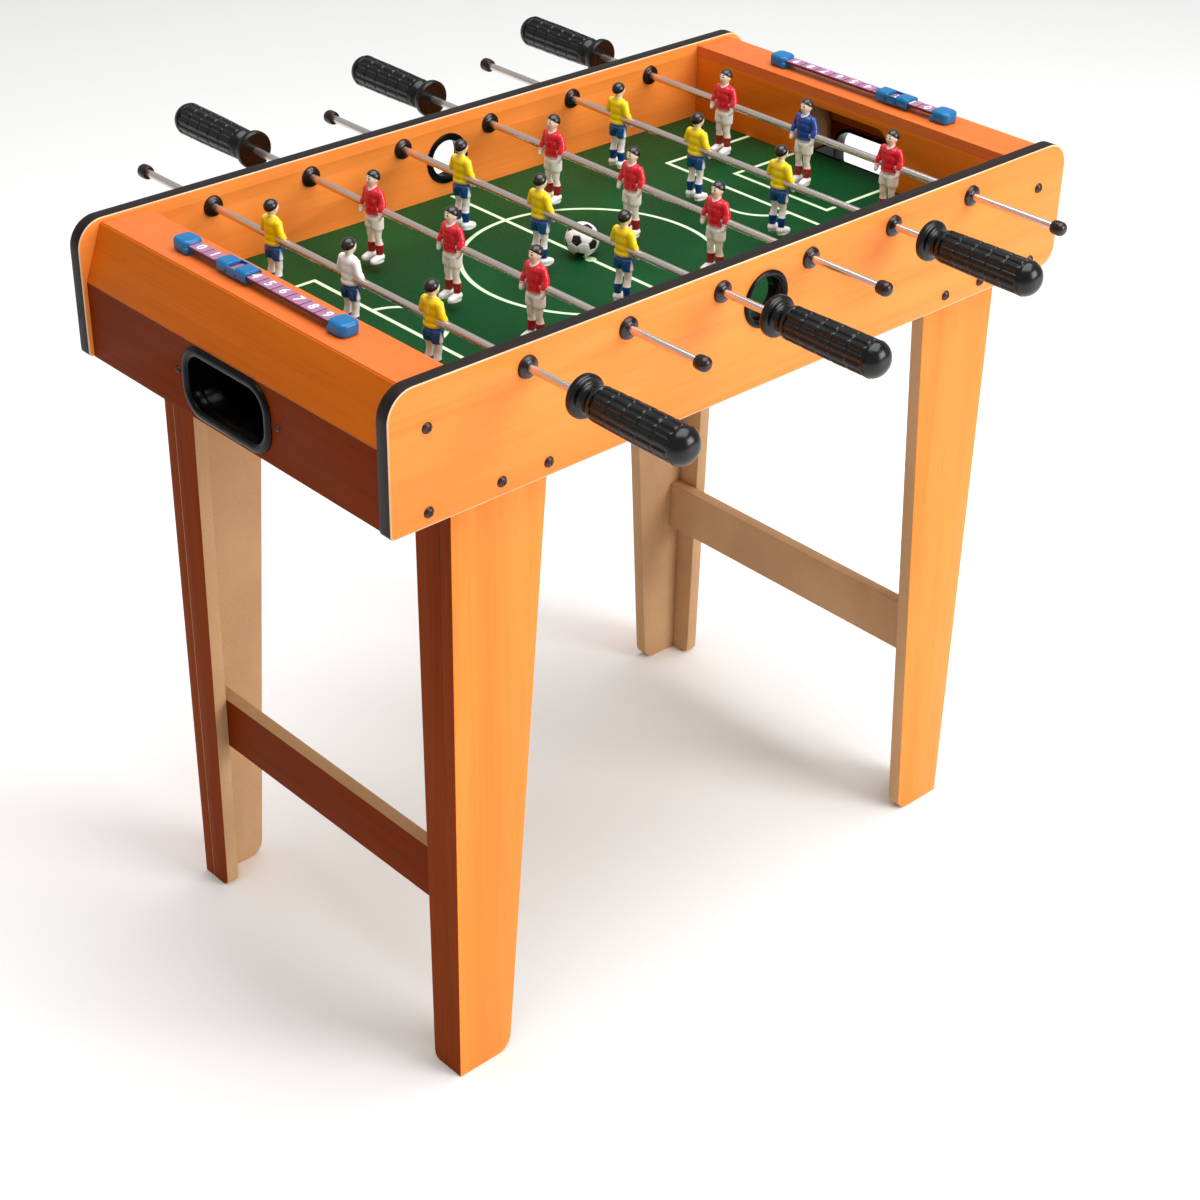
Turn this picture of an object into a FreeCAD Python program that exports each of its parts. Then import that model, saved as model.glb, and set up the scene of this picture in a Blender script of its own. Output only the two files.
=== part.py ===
import math
import os

import FreeCAD
import Part
import Sketcher

# Table football game, in millimetres. X runs along the table, Y across it, Z up,
# and the origin is on the floor under the middle of the playing field.

os.makedirs("parts", exist_ok=True)
doc = FreeCAD.newDocument("foosball_table")

# Driving sizes. Every length is in mm, every level is a height above the floor.
sizes = {
    "table_length": 690,
    "table_width": 370,
    "table_height": 620,
    "panel_thick": 12,
    "panel_height": 106,
    "round_top": 22,
    "round_left": 4,
    "round_right": 16,
    "field_level": 553,
    "field_thick": 6,
    "field_half": 302,
    "wall_face": 285,
    "wall_thick": 9,
    "shelf_drop": 3,
    "fold_inset": 20,
    "face_inset": 4,
    "fold_level": 574,
    "cover_thick": 9,
    "goal_half": 50,
    "goal_height": 48,
    "goal_round": 14,
    "cup_half": 48,
    "cup_floor": 521,
    "cup_height": 48,
    "cup_round": 18,
    "cup_wall": 2,
    "cup_back": 303,
    "cup_open": 28,
    "cup_fit": 0.2,
    "cup_rim": 4,
    "cup_lip": 4,
    "cup_rim_thick": 3,
    "cut_over": 2,
    "block_half": 173,
    "cheek_face": 52,
    "cheek_thick": 14,
    "corner_thick": 18,
    "block_lift": 3,
    "block_step": 6,
    "block_rise": 20,
    "block_back": 10,
    "rail_drop": 12,
    "rail_half": 190,
    "entry_level": 584,
    "entry_bore": 15,
    "entry_tube": 17,
    "entry_rim": 22,
    "entry_proud": 2.4,
    "entry_edge": 1,
    "entry_dish": 4,
    "entry_throat": 2,
    "entry_lip": 1.6,
    "rod_level": 603,
    "rod_pitch": 91,
    "rod_radius": 3,
    "rod_bore": 2,
    "bush_bore": 3.06,
    "bush_tube": 5.5,
    "bush_rim": 8.5,
    "bush_outside": 3.5,
    "bush_inside": 2.8,
    "bush_edge": 2,
    "bush_edge_inside": 1.4,
    "grip_face": 243,
    "grip_end": 345,
    "grip_bore": 303,
    "grip_radius": 13.5,
    "grip_neck": 9.5,
    "grip_flange": 15.5,
    "grip_slim": 1,
    "grip_shoulder": 5,
    "grip_taper": 40,
    "grip_dome": 11,
    "neck_long": 6,
    "flange_thick": 6,
    "flange_round": 2.4,
    "cap_face": 254,
    "cap_end": 265,
    "cap_radius": 5.6,
    "cap_bore": 3.05,
    "cap_roof": 1.6,
    "cap_gap": 0.2,
    "cap_dome": 4,
    "man_pitch": 92,
    "man_foot": 44.3,
    "man_cut": 40,
    "ball_radius": 13.5,
    "ball_rest": 10,
    "leg_thick": 12,
    "leg_corner": 285,
    "leg_top": 546,
    "leg_wide": 89,
    "leg_narrow": 51,
    "leg_return": 40,
    "leg_return_low": 32,
    "leg_round": 14,
    "brace_level": 145,
    "brace_height": 47,
    "screw_head": 4.2,
    "screw_shank": 2,
    "screw_length": 20,
    "screw_rise": 2.4,
    "screw_tip": 2,
    "head_edge": 0.5,
    "head_crown": 0.2,
    "pin_head": 2.6,
    "pin_shank": 1.3,
    "pin_length": 12,
    "pin_rise": 1.6,
    "counter_line": 305,
    "counter_half": 81,
    "post_long": 18,
    "post_wide": 17,
    "post_high": 10,
    "post_round": 5,
    "post_edge": 2.5,
    "bar_wide": 12,
    "bar_thick": 2.4,
    "bar_lift": 5,
    "marker_long": 34,
    "marker_wide": 15,
    "marker_high": 8,
    "marker_play": 0.4,
    "window_inset": 1,
}

# How far each rod and marker stands from its middle position, the rods in the order -X to +X.
rod_rest = [5, 2, 8, 3, 24, -10]
rod_count = len(rod_rest)
marker_rest = {"left": 28, "right": -39}

# Screw places, as distances from the middle of the table and heights above the floor.
screw_spots = [(313, 587), (313, 525), (250, 525), (208, 525)]
pin_spot = (59, 546)

sheet = doc.addObject("Spreadsheet::Sheet", "Sheet")
for row, (alias, number) in enumerate(sizes.items(), start=1):
    sheet.set(f"A{row}", alias)
    sheet.set(f"B{row}", str(number))
    sheet.setAlias(f"B{row}", alias)
doc.recompute()

parts = []


def of(text):
    # "=name" words become references to the sheet.
    for alias in sorted(sizes, key=len, reverse=True):
        text = text.replace("=" + alias, "Sheet." + alias)
    return text


def bind(item, **formulas):
    for name, text in formulas.items():
        item.setExpression(name.replace("__", "."), of(text))
    return item


def place(item, x="0", y="0", z="0", turn=0):
    turned = FreeCAD.Rotation(FreeCAD.Vector(0, 0, 1), turn)
    item.Placement = FreeCAD.Placement(FreeCAD.Vector(), turned)
    return bind(item, Placement__Base__x=x, Placement__Base__y=y, Placement__Base__z=z)


def part(item, label):
    item.Label = label
    parts.append(item)
    return item


class Piece:
    # One solid with its own sketches and features.
    def __init__(self, name):
        self.body = doc.addObject("PartDesign::Body", name)
        self.count = 0

    def sketch(self, plane, offset="0"):
        self.count += 1
        drawn = self.body.newObject("Sketcher::SketchObject", f"{self.body.Name}_sketch_{self.count}")
        origin = [f for f in self.body.Origin.OriginFeatures if f.Role == plane + "_Plane"][0]
        drawn.AttachmentSupport = [(origin, "")]
        drawn.MapMode = "FlatFace"
        bind(drawn, AttachmentOffset__Base__z=offset)
        return drawn

    def outline(self, plane, corners, offset="0"):
        drawn = self.sketch(plane, offset)
        values = [(value_of(u), value_of(v)) for u, v in corners]
        for n, (u, v) in enumerate(values):
            end = values[(n + 1) % len(values)]
            line = Part.LineSegment(FreeCAD.Vector(u, v, 0), FreeCAD.Vector(end[0], end[1], 0))
            drawn.addGeometry(line, False)
        for n in range(len(values)):
            drawn.addConstraint(Sketcher.Constraint("Coincident", n, 2, (n + 1) % len(values), 1))
        for n, (u, v) in enumerate(corners):
            across = drawn.addConstraint(Sketcher.Constraint("DistanceX", -1, 1, n, 1, values[n][0]))
            drawn.setExpression(f"Constraints[{across}]", of(u))
            along = drawn.addConstraint(Sketcher.Constraint("DistanceY", -1, 1, n, 1, values[n][1]))
            drawn.setExpression(f"Constraints[{along}]", of(v))
        return drawn

    def rounded(self, plane, half, low, high, radius, offset="0"):
        # An upright rectangle about the sketch's V axis, with an arc at each corner.
        drawn = self.sketch(plane, offset)
        w, a, b, r = (value_of(text) for text in (half, low, high, radius))
        up = FreeCAD.Vector(0, 0, 1)
        arcs = []
        for n, (u, v) in enumerate([(w - r, a + r), (w - r, b - r), (r - w, b - r), (r - w, a + r)]):
            ring = Part.Circle(FreeCAD.Vector(u, v, 0), up, r)
            arcs.append(Part.ArcOfCircle(ring, math.radians(90 * n - 90), math.radians(90 * n)))
        for n, arc in enumerate(arcs):
            drawn.addGeometry(arc, False)
            drawn.addGeometry(Part.LineSegment(arc.EndPoint, arcs[(n + 1) % 4].StartPoint), False)
        for n in range(4):
            arc, line, after = 2 * n, 2 * n + 1, 2 * ((n + 1) % 4)
            drawn.addConstraint(Sketcher.Constraint("Tangent", arc, 2, line, 1))
            drawn.addConstraint(Sketcher.Constraint("Tangent", line, 2, after, 1))
            drawn.addConstraint(Sketcher.Constraint("Horizontal" if n % 2 else "Vertical", line))
            if n:
                drawn.addConstraint(Sketcher.Constraint("Equal", 0, arc))
        size = drawn.addConstraint(Sketcher.Constraint("Radius", 0, r))
        drawn.setExpression(f"Constraints[{size}]", of(radius))
        sides_at = [("X", half, w), ("Y", high, b), ("X", f"-({half})", -w), ("Y", low, a)]
        for n, (way, text, value) in enumerate(sides_at):
            held = Sketcher.Constraint("Distance" + way, -1, 1, 2 * n + 1, 1, value)
            spot = drawn.addConstraint(held)
            drawn.setExpression(f"Constraints[{spot}]", of(text))
        return drawn

    def circles(self, plane, rounds):
        drawn = self.sketch(plane)
        for n, (u, v, radius) in enumerate(rounds):
            centre = FreeCAD.Vector(value_of(u), value_of(v), 0)
            drawn.addGeometry(Part.Circle(centre, FreeCAD.Vector(0, 0, 1), value_of(radius)), False)
            size = drawn.addConstraint(Sketcher.Constraint("Radius", n, value_of(radius)))
            drawn.setExpression(f"Constraints[{size}]", of(radius))
            across = drawn.addConstraint(Sketcher.Constraint("DistanceX", -1, 1, n, 3, centre.x))
            drawn.setExpression(f"Constraints[{across}]", of(u))
            along = drawn.addConstraint(Sketcher.Constraint("DistanceY", -1, 1, n, 3, centre.y))
            drawn.setExpression(f"Constraints[{along}]", of(v))
        return drawn

    def pad(self, drawn, length, both=True):
        feature = self.body.newObject("PartDesign::Pad", f"{self.body.Name}_pad_{self.count}")
        feature.Profile = drawn
        feature.Midplane = both
        bind(feature, Length=length)
        return self

    def pocket(self, drawn, length=None, toward=False):
        # With no length it cuts right through, both ways.
        before = self.volume()
        feature = self.body.newObject("PartDesign::Pocket", f"{self.body.Name}_pocket_{self.count}")
        feature.Profile = drawn
        if length:
            feature.Reversed = toward
            bind(feature, Length=length)
        else:
            feature.Type = "ThroughAll"
            feature.Midplane = True
        if self.volume() > before - 1e-3:
            raise RuntimeError(f"{feature.Name} cuts nothing")
        return self

    def revolve(self, drawn):
        feature = self.body.newObject("PartDesign::Revolution", f"{self.body.Name}_turned")
        feature.Profile = drawn
        feature.ReferenceAxis = (drawn, ["V_Axis"])
        feature.Angle = 360
        return self

    def round(self, radius, chosen):
        # Fillets every edge whose middle passes the test.
        doc.recompute()
        shape = self.body.Tip.Shape
        names = []
        for n, edge in enumerate(shape.Edges, start=1):
            middle = edge.valueAt((edge.FirstParameter + edge.LastParameter) / 2)
            if chosen(edge, middle):
                names.append(f"Edge{n}")
        if not names:
            raise RuntimeError(f"{self.body.Name} has no edge to round")
        base = self.body.Tip
        feature = self.body.newObject("PartDesign::Fillet", f"{self.body.Name}_round_{base.Name}")
        feature.Base = (base, names)
        bind(feature, Radius=radius)
        return self

    def volume(self):
        doc.recompute()
        return self.body.Shape.Volume


def value_of(text):
    # The present value of a formula, for a sketch's first guess.
    value = sheet.evalExpression(of(text))
    return float(getattr(value, "Value", value))


def near(a, b):
    return abs(a - b) < 0.01


def along(axis, edge):
    # Whether a straight edge runs along the X, Y or Z axis.
    if not isinstance(edge.Curve, Part.Line):
        return False
    way = edge.Curve.Direction
    return near(abs((way.x, way.y, way.z)[axis]), 1)


def ring_edge(edge, middle, radius, level):
    # Whether an edge is a circle about Y with this radius at this Y.
    if not isinstance(edge.Curve, Part.Circle):
        return False
    return near(edge.Curve.Radius, radius) and near(middle.y, level)


def box(name, across, along_y, up, x="0", y="0", z="0"):
    item = doc.addObject("Part::Box", name)
    bind(item, Length=across, Width=along_y, Height=up)
    return place(item, x, y, z)


def cylinder_y(name, radius, length, x="0", y="0", z="0"):
    # A cylinder whose axis runs along +Y from the given point.
    item = doc.addObject("Part::Cylinder", name)
    bind(item, Radius=radius, Height=length)
    turned = FreeCAD.Rotation(FreeCAD.Vector(1, 0, 0), -90)
    item.Placement = FreeCAD.Placement(FreeCAD.Vector(), turned)
    return bind(item, Placement__Base__x=x, Placement__Base__y=y, Placement__Base__z=z)


def cut(name, base, tool):
    item = doc.addObject("Part::Cut", name)
    item.Base = base
    item.Tool = tool
    return item


def group(name, items):
    item = doc.addObject("Part::Compound", name)
    item.Links = items
    return item


def copy_of(name, source, x="0", y="0", z="0", turn=0):
    item = doc.addObject("App::Link", name)
    item.LinkedObject = source
    item.LinkTransform = False
    return place(item, x, y, z, turn)


def rod_line(n):
    return f"=rod_pitch * {n - (rod_count - 1) / 2}"


ends = {"left": 180, "right": 0}
sides = {"near": -1, "far": 1}
panel_middle = "(=table_width - =panel_thick) / 2"
inside_width = "=table_width - 2 * =panel_thick"
bottom = "=table_height - =panel_height"
shelf = "(=table_height - =shelf_drop)"


# Cabinet

def side_panel(side):
    piece = Piece(f"side_panel_{side}")
    half = "=table_length / 2"
    top_level = "=table_height"
    corners = [("-" + half, bottom), (half, bottom), (half, top_level), ("-" + half, top_level)]
    piece.pad(piece.outline("XZ", corners), "=panel_thick")
    middle = value_of(f"{bottom} + =panel_height / 2")

    def top(edge, at):
        return along(1, edge) and at.z > middle

    def low_left(edge, at):
        return along(1, edge) and at.z < middle and near(at.x, -value_of(half))

    def low_right(edge, at):
        return along(1, edge) and at.z < middle and near(at.x, value_of(half))

    piece.round("=round_top", top)
    piece.round("=round_left", low_left)
    piece.round("=round_right", low_right)
    holes = [(rod_line(n), "=rod_level", "=bush_tube") for n in range(rod_count)]
    holes.append(("0", "=entry_level", "=entry_tube"))
    for x, z in screw_spots:
        holes += [(f"{sign}{x}", f"{z}", "=screw_shank") for sign in ("", "-")]
    piece.pocket(piece.circles("XZ", holes))
    place(piece.body, y=f"{sides[side]} * {panel_middle}")
    part(piece.body, f"side_panel_{side}")


def end_cover(end):
    # One board folded twice: shelf, sloped face and upright outer face.
    piece = Piece(f"end_cover_{end}")
    fold = "(=table_length / 2 - =fold_inset)"
    face = "(=table_length / 2 - =face_inset)"
    lean = f"atan(({face} - {fold}) / ({shelf} - =fold_level))"
    corners = [
        ("=wall_face", shelf),
        (fold, shelf),
        (face, "=fold_level"),
        (face, bottom),
        (f"{face} - =cover_thick", bottom),
        (f"{face} - =cover_thick", f"=fold_level - =cover_thick * tan({lean} / 2)"),
        (f"{fold} - =cover_thick * tan((90 deg - {lean}) / 2)", f"{shelf} - =cover_thick"),
        ("=wall_face", f"{shelf} - =cover_thick"),
    ]
    piece.pad(piece.outline("XZ", corners), inside_width)
    low = "=cup_floor - =cup_fit"
    high = "=cup_floor + =cup_height + =cup_fit"
    piece.pocket(piece.rounded("YZ", "=cup_half + =cup_fit", low, high, "=cup_round + =cup_fit"))
    place(piece.body, turn=ends[end])
    part(piece.body, f"end_cover_{end}")


def inner_wall(end):
    piece = Piece(f"inner_wall_{end}")
    half = f"({inside_width}) / 2"
    high = f"{shelf} - =cover_thick"
    goal = "=field_level + =goal_height"
    corners = [
        ("-" + half, "=field_level"),
        ("-=goal_half", "=field_level"),
        ("-=goal_half", goal),
        ("=goal_half", goal),
        ("=goal_half", "=field_level"),
        (half, "=field_level"),
        (half, high),
        ("-" + half, high),
    ]
    piece.pad(piece.outline("YZ", corners, "=wall_face"), "=wall_thick", both=False)

    def goal_top(edge, at):
        return along(0, edge) and near(at.z, value_of(goal))

    piece.round("=goal_round", goal_top)
    place(piece.body, turn=ends[end])
    part(piece.body, f"inner_wall_{end}")


def ball_cup(end):
    # Scoop behind the goal: open on top inside the cabinet, with a rim and lip outside.
    piece = Piece(f"ball_cup_{end}")
    face = "(=table_length / 2 - =face_inset)"
    high = "=cup_floor + =cup_height"

    def ring(grow, offset):
        half = f"=cup_half + {grow}"
        radius = f"=cup_round + {grow}"
        return piece.rounded("YZ", half, f"=cup_floor - ({grow})", f"{high} + {grow}", radius, offset)

    piece.pad(ring("0", "=cup_back"), f"{face} - =cup_back", both=False)
    piece.pad(ring("=cup_rim", face), "=cup_rim_thick", both=False)
    inside = ring("-=cup_wall", "=cup_back + =cup_wall")
    piece.pocket(inside, f"{face} - =cup_back - =cup_wall", toward=True)
    piece.pocket(ring("-=cup_lip", face), "=cup_rim_thick", toward=True)
    over = "=cup_back - =cut_over"
    past = "=cup_back + =cup_open"
    above = f"{high} + =cut_over"
    corners = [(over, "=field_level"), (past, "=field_level"), (past, above), (over, above)]
    piece.pocket(piece.outline("XZ", corners))
    place(piece.body, turn=ends[end])
    part(piece.body, f"ball_cup_{end}")


def end_block(name, thick):
    # Blocks that tie an end together share one outline, which clears the sloped face.
    piece = Piece(name)
    face = "(=table_length / 2 - =face_inset - =cover_thick)"
    corners = [
        ("=cup_back", f"{bottom} + =block_lift"),
        (face, f"{bottom} + =block_lift"),
        (face, "=fold_level - =block_step"),
        (f"{face} - =block_back", "=fold_level + =block_rise"),
        ("=cup_back", "=fold_level + =block_rise"),
    ]
    return piece.pad(piece.outline("XZ", corners), thick).body


def end_blocks():
    corner = end_block("corner_block", "=corner_thick")
    cheek = end_block("cheek_block", "=cheek_thick")
    rows = {
        "corner_blocks": (corner, "=block_half - =corner_thick / 2"),
        "goal_cheeks": (cheek, "=cheek_face + =cheek_thick / 2"),
    }
    for label, (source, line) in rows.items():
        copies = []
        for end, turn in ends.items():
            for side, sign in sides.items():
                name = f"{label}_{end}_{side}"
                copies.append(copy_of(name, source, y=f"{sign} * ({line})", turn=turn))
        part(group(label, copies), label)


def playfield():
    board = box(
        "playfield",
        "2 * =field_half",
        inside_width,
        "=field_thick",
        x="-=field_half",
        y=f"-({inside_width}) / 2",
        z="=field_level - =field_thick",
    )
    part(board, "playfield")
    rails = []
    for side, sign in sides.items():
        rails.append(
            box(
                f"rail_{side}",
                "2 * =rail_half",
                "=rail_drop",
                "=rail_drop",
                x="-=rail_half",
                y=f"{sign} * (({inside_width}) / 2 - =rail_drop / 2) - =rail_drop / 2",
                z="=field_level - =field_thick - =rail_drop",
            )
        )
    part(group("field_rails", rails), "field_rails")


def ball_entries():
    # A dished ring through each side panel, where the ball is served.
    piece = Piece("ball_entry")
    half = "=panel_thick / 2"
    profile = [
        ("=entry_rim - =entry_edge", f"-{half} - =entry_proud"),
        ("=entry_rim", f"-{half} - =entry_proud + =entry_edge"),
        ("=entry_rim", f"-{half}"),
        ("=entry_tube", f"-{half}"),
        ("=entry_tube", half),
        ("=entry_rim - =entry_edge", half),
        ("=entry_rim - =entry_edge", f"{half} + =entry_edge"),
        ("=entry_tube", f"{half} + =entry_lip"),
        ("=entry_bore", half),
        ("=entry_bore", "-=entry_throat"),
        ("=entry_rim - =entry_dish", f"-{half} - =entry_proud"),
    ]
    piece.revolve(piece.outline("XY", profile))
    rings = []
    for side, sign in sides.items():
        turn = 90 * (1 + sign)
        line = f"{sign} * {panel_middle}"
        rings.append(copy_of(f"ball_entry_{side}", piece.body, y=line, z="=entry_level", turn=turn))
    part(group("ball_entries", rings), "ball_entries")


# Rods

def bushings():
    piece = Piece("bushing")
    half = "=panel_thick / 2"
    profile = [
        ("=bush_bore", f"-{half} - =bush_outside"),
        ("=bush_rim - =bush_edge", f"-{half} - =bush_outside"),
        ("=bush_rim", f"-{half} - =bush_outside + =bush_edge"),
        ("=bush_rim", f"-{half}"),
        ("=bush_tube", f"-{half}"),
        ("=bush_tube", half),
        ("=bush_rim", half),
        ("=bush_rim", f"{half} + =bush_inside - =bush_edge_inside"),
        ("=bush_rim - =bush_edge_inside", f"{half} + =bush_inside"),
        ("=bush_bore", f"{half} + =bush_inside"),
    ]
    piece.revolve(piece.outline("XY", profile))
    for side, sign in sides.items():
        turn = 90 * (1 + sign)
        line = f"{sign} * {panel_middle}"
        copies = []
        for n in range(rod_count):
            name = f"bushing_{side}_{n + 1}"
            copies.append(copy_of(name, piece.body, x=rod_line(n), y=line, z="=rod_level", turn=turn))
        part(group(f"bushings_{side}", copies), f"bushings_{side}")


def rod_tube():
    length = "=grip_bore + =cap_end - =cap_roof - =cap_gap"
    outer = cylinder_y("rod_outside", "=rod_radius", length, y="-=grip_bore")
    inner = cylinder_y("rod_inside", "=rod_bore", length, y="-=grip_bore")
    return cut("rod_source", outer, inner)


def handle():
    piece = Piece("handle_source")
    flange_back = "-=grip_face - =flange_thick"
    neck_end = f"{flange_back} - =neck_long"
    profile = [
        ("=rod_radius", "-=grip_face"),
        ("=grip_flange", "-=grip_face"),
        ("=grip_flange", flange_back),
        ("=grip_neck", flange_back),
        ("=grip_neck", neck_end),
        ("=grip_radius - =grip_slim", f"{neck_end} - =grip_shoulder"),
        ("=grip_radius", f"{neck_end} - =grip_shoulder - =grip_taper"),
        ("=grip_radius", "-=grip_end"),
        ("0", "-=grip_end"),
        ("0", "-=grip_bore"),
        ("=rod_radius", "-=grip_bore"),
    ]
    piece.revolve(piece.outline("XY", profile))
    flange = value_of("=grip_flange")
    faces = [value_of("-=grip_face"), value_of(flange_back)]

    def rim(edge, at):
        return any(ring_edge(edge, at, flange, face) for face in faces)

    def dome(edge, at):
        return ring_edge(edge, at, value_of("=grip_radius"), -value_of("=grip_end"))

    piece.round("=flange_round", rim)
    piece.round("=grip_dome", dome)
    return piece.body


def end_cap():
    piece = Piece("cap_source")
    profile = [
        ("=cap_bore", "=cap_face"),
        ("=cap_radius", "=cap_face"),
        ("=cap_radius", "=cap_end"),
        ("0", "=cap_end"),
        ("0", "=cap_end - =cap_roof"),
        ("=cap_bore", "=cap_end - =cap_roof"),
    ]
    piece.revolve(piece.outline("XY", profile))

    def tip(edge, at):
        return ring_edge(edge, at, value_of("=cap_radius"), value_of("=cap_end"))

    piece.round("=cap_dome", tip)
    return piece.body


def ellipsoid(name, x, y, z, centre, tilt=0):
    # Half sizes along X, Y and Z, then tilted about X.
    item = doc.addObject("Part::Ellipsoid", name)
    item.Radius1 = z
    item.Radius2 = x
    item.Radius3 = y
    turned = FreeCAD.Rotation(FreeCAD.Vector(1, 0, 0), tilt)
    item.Placement = FreeCAD.Placement(FreeCAD.Vector(*centre), turned)
    return item


def man():
    # A moulded player about the rod's axis, facing +X: head, chest, arms, hips, legs and boots.
    solids = [
        ellipsoid("head", 5.2, 4.8, 5.8, (0.6, 0, 23.2)),
        ellipsoid("neck", 3, 3, 4.5, (0, 0, 17.5)),
        ellipsoid("chest", 6.2, 9.2, 11.5, (0, 0, 7.5)),
        ellipsoid("hips", 6, 7.8, 8, (0, 0, -3)),
    ]
    for side, sign in sides.items():
        solids.append(ellipsoid(f"arm_{side}", 3.4, 2.9, 9.5, (2.2, sign * 9.2, 4.5), sign * 14))
        solids.append(ellipsoid(f"hand_{side}", 2.9, 2.6, 3.6, (3.2, sign * 11, -4.5)))
        solids.append(ellipsoid(f"thigh_{side}", 3.9, 3.7, 13, (0, sign * 4, -13)))
        solids.append(ellipsoid(f"calf_{side}", 3.4, 3.3, 12, (0, sign * 4.4, -29)))
        solids.append(ellipsoid(f"boot_{side}", 7.2, 3.7, 5.4, (3, sign * 4.6, -40.2)))
    body = doc.addObject("Part::MultiFuse", "man_body")
    body.Shapes = solids
    reach = cylinder_y("man_reach", "=man_foot", "=man_cut", y="-=man_cut / 2")
    trimmed = doc.addObject("Part::Common", "man_trimmed")
    trimmed.Base = body
    trimmed.Tool = reach
    bore = cylinder_y("man_bore", "=rod_radius", "=man_cut", y="-=man_cut / 2")
    return cut("man_source", trimmed, bore)


def rods():
    tube = rod_tube()
    grip = handle()
    cap = end_cap()
    player = man()
    trio = [copy_of(f"man_{k + 2}", player, y=f"=man_pitch * {k}") for k in (-1, 0, 1)]
    row = group("men_source", trio)
    sources = {"rod_tube": tube, "handle": grip, "end_cap": cap, "men": row}
    for n, rest in enumerate(rod_rest):
        turn = 180 * (n % 2)
        for word, source in sources.items():
            label = f"{word}_{n + 1}"
            name = f"{label}_link"
            item = copy_of(name, source, x=rod_line(n), y=f"{rest}", z="=rod_level", turn=turn)
            part(group(label, [item]), label)


def ball():
    item = doc.addObject("Part::Sphere", "ball")
    bind(item, Radius="=ball_radius")
    place(item, y="=ball_rest", z="=field_level + =ball_radius")
    part(item, "ball")


# Legs

def leg_side():
    piece = Piece("leg_side_source")
    corners = [
        ("=leg_corner - =leg_narrow", "0"),
        ("=leg_corner", "0"),
        ("=leg_corner", "=leg_top"),
        ("=leg_corner - =leg_wide", "=leg_top"),
    ]
    piece.pad(piece.outline("XZ", corners), "=leg_thick")

    def toe(edge, at):
        return along(1, edge) and near(at.z, 0) and at.x < value_of("=leg_corner") - 1

    return piece.round("=leg_round", toe).body


def leg_end():
    # Outline in Y and Z for a leg on the far side, inside its side board.
    piece = Piece("leg_end_source")
    outer = f"(({inside_width}) / 2 - =leg_thick)"
    corners = [
        (outer, "0"),
        (outer, "=leg_top"),
        (f"{outer} + =leg_thick - =leg_return", "=leg_top"),
        (f"{outer} + =leg_thick - =leg_return_low", "0"),
    ]
    piece.pad(piece.outline("YZ", corners), "=leg_thick")

    def toe(edge, at):
        return along(0, edge) and near(at.z, 0) and at.y < value_of(outer) - 1

    return piece.round("=leg_round / 2", toe).body


def legs():
    board = leg_side()
    back = leg_end()
    line = f"(({inside_width}) / 2 - =leg_thick / 2)"
    for side, sign in sides.items():
        for end, turn in ends.items():
            name = f"leg_{side}_{end}"
            plain = copy_of(f"{name}_side_link", board, y=f"{sign} * {line}", turn=turn)
            part(group(f"{name}_side", [plain]), f"{name}_side")
            ahead = 1 if end == "right" else -1
            half_turn = 90 * (1 - sign)
            spot = f"{ahead} * (=leg_corner - =leg_thick / 2)"
            inner = copy_of(f"{name}_end_link", back, x=spot, turn=half_turn)
            part(group(f"{name}_end", [inner]), f"{name}_end")
    for end, turn in ends.items():
        wide = f"({inside_width} - 2 * =leg_thick)"
        ahead = 1 if end == "right" else -1
        brace = box(
            f"stretcher_{end}",
            "=leg_thick",
            wide,
            "=brace_height",
            x=f"{ahead} * (=leg_corner - 1.5 * =leg_thick) - =leg_thick / 2",
            y=f"-{wide} / 2",
            z="=brace_level",
        )
        part(brace, f"stretcher_{end}")


# Fasteners

def screw(name, head, shank, length, rise):
    # A domed screw: its head stands out along -Y from y = 0 and its shank runs along +Y.
    piece = Piece(name)
    profile = [
        ("0", length),
        (shank, f"{length} - =screw_tip"),
        (shank, "0"),
        (head, "0"),
        (head, "-=head_edge"),
        (f"{head} - {rise} * 0.7", f"-{rise}"),
        ("0", f"-{rise} - =head_crown"),
    ]
    piece.revolve(piece.outline("XY", profile))
    return piece.body


def fasteners():
    source = screw("screw_source", "=screw_head", "=screw_shank", "=screw_length", "=screw_rise")
    copies = []
    for side, sign in sides.items():
        turn = 90 * (1 + sign)
        face = f"{sign} * =table_width / 2"
        for x, z in screw_spots:
            for way in (-1, 1):
                name = f"screw_{len(copies) + 1}"
                copies.append(copy_of(name, source, x=f"{way * x}", y=face, z=f"{z}", turn=turn))
    part(group("panel_screws", copies), "panel_screws")
    source = screw("pin_source", "=pin_head", "=pin_shank", "=pin_length", "=pin_rise")
    copies = []
    y, z = pin_spot
    for end in ends:
        ahead = 1 if end == "right" else -1
        spot = f"{ahead} * (=table_length / 2 - =face_inset)"
        for way in (-1, 1):
            name = f"cup_screw_{len(copies) + 1}"
            turn = 90 * ahead
            copies.append(copy_of(name, source, x=spot, y=f"{way * y}", z=f"{z}", turn=turn))
    part(group("cup_screws", copies), "cup_screws")


# Score counters

def counter_post():
    piece = Piece("post_source")
    x = "=post_wide / 2"
    y = "=post_long / 2"
    corners = [("-" + x, "-" + y), (x, "-" + y), (x, y), ("-" + x, y)]
    piece.pad(piece.outline("XY", corners), "=post_high", both=False)
    piece.round("=post_round", lambda edge, at: along(2, edge))
    piece.round("=post_edge", lambda edge, at: near(at.z, value_of("=post_high")))
    return piece.body


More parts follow.
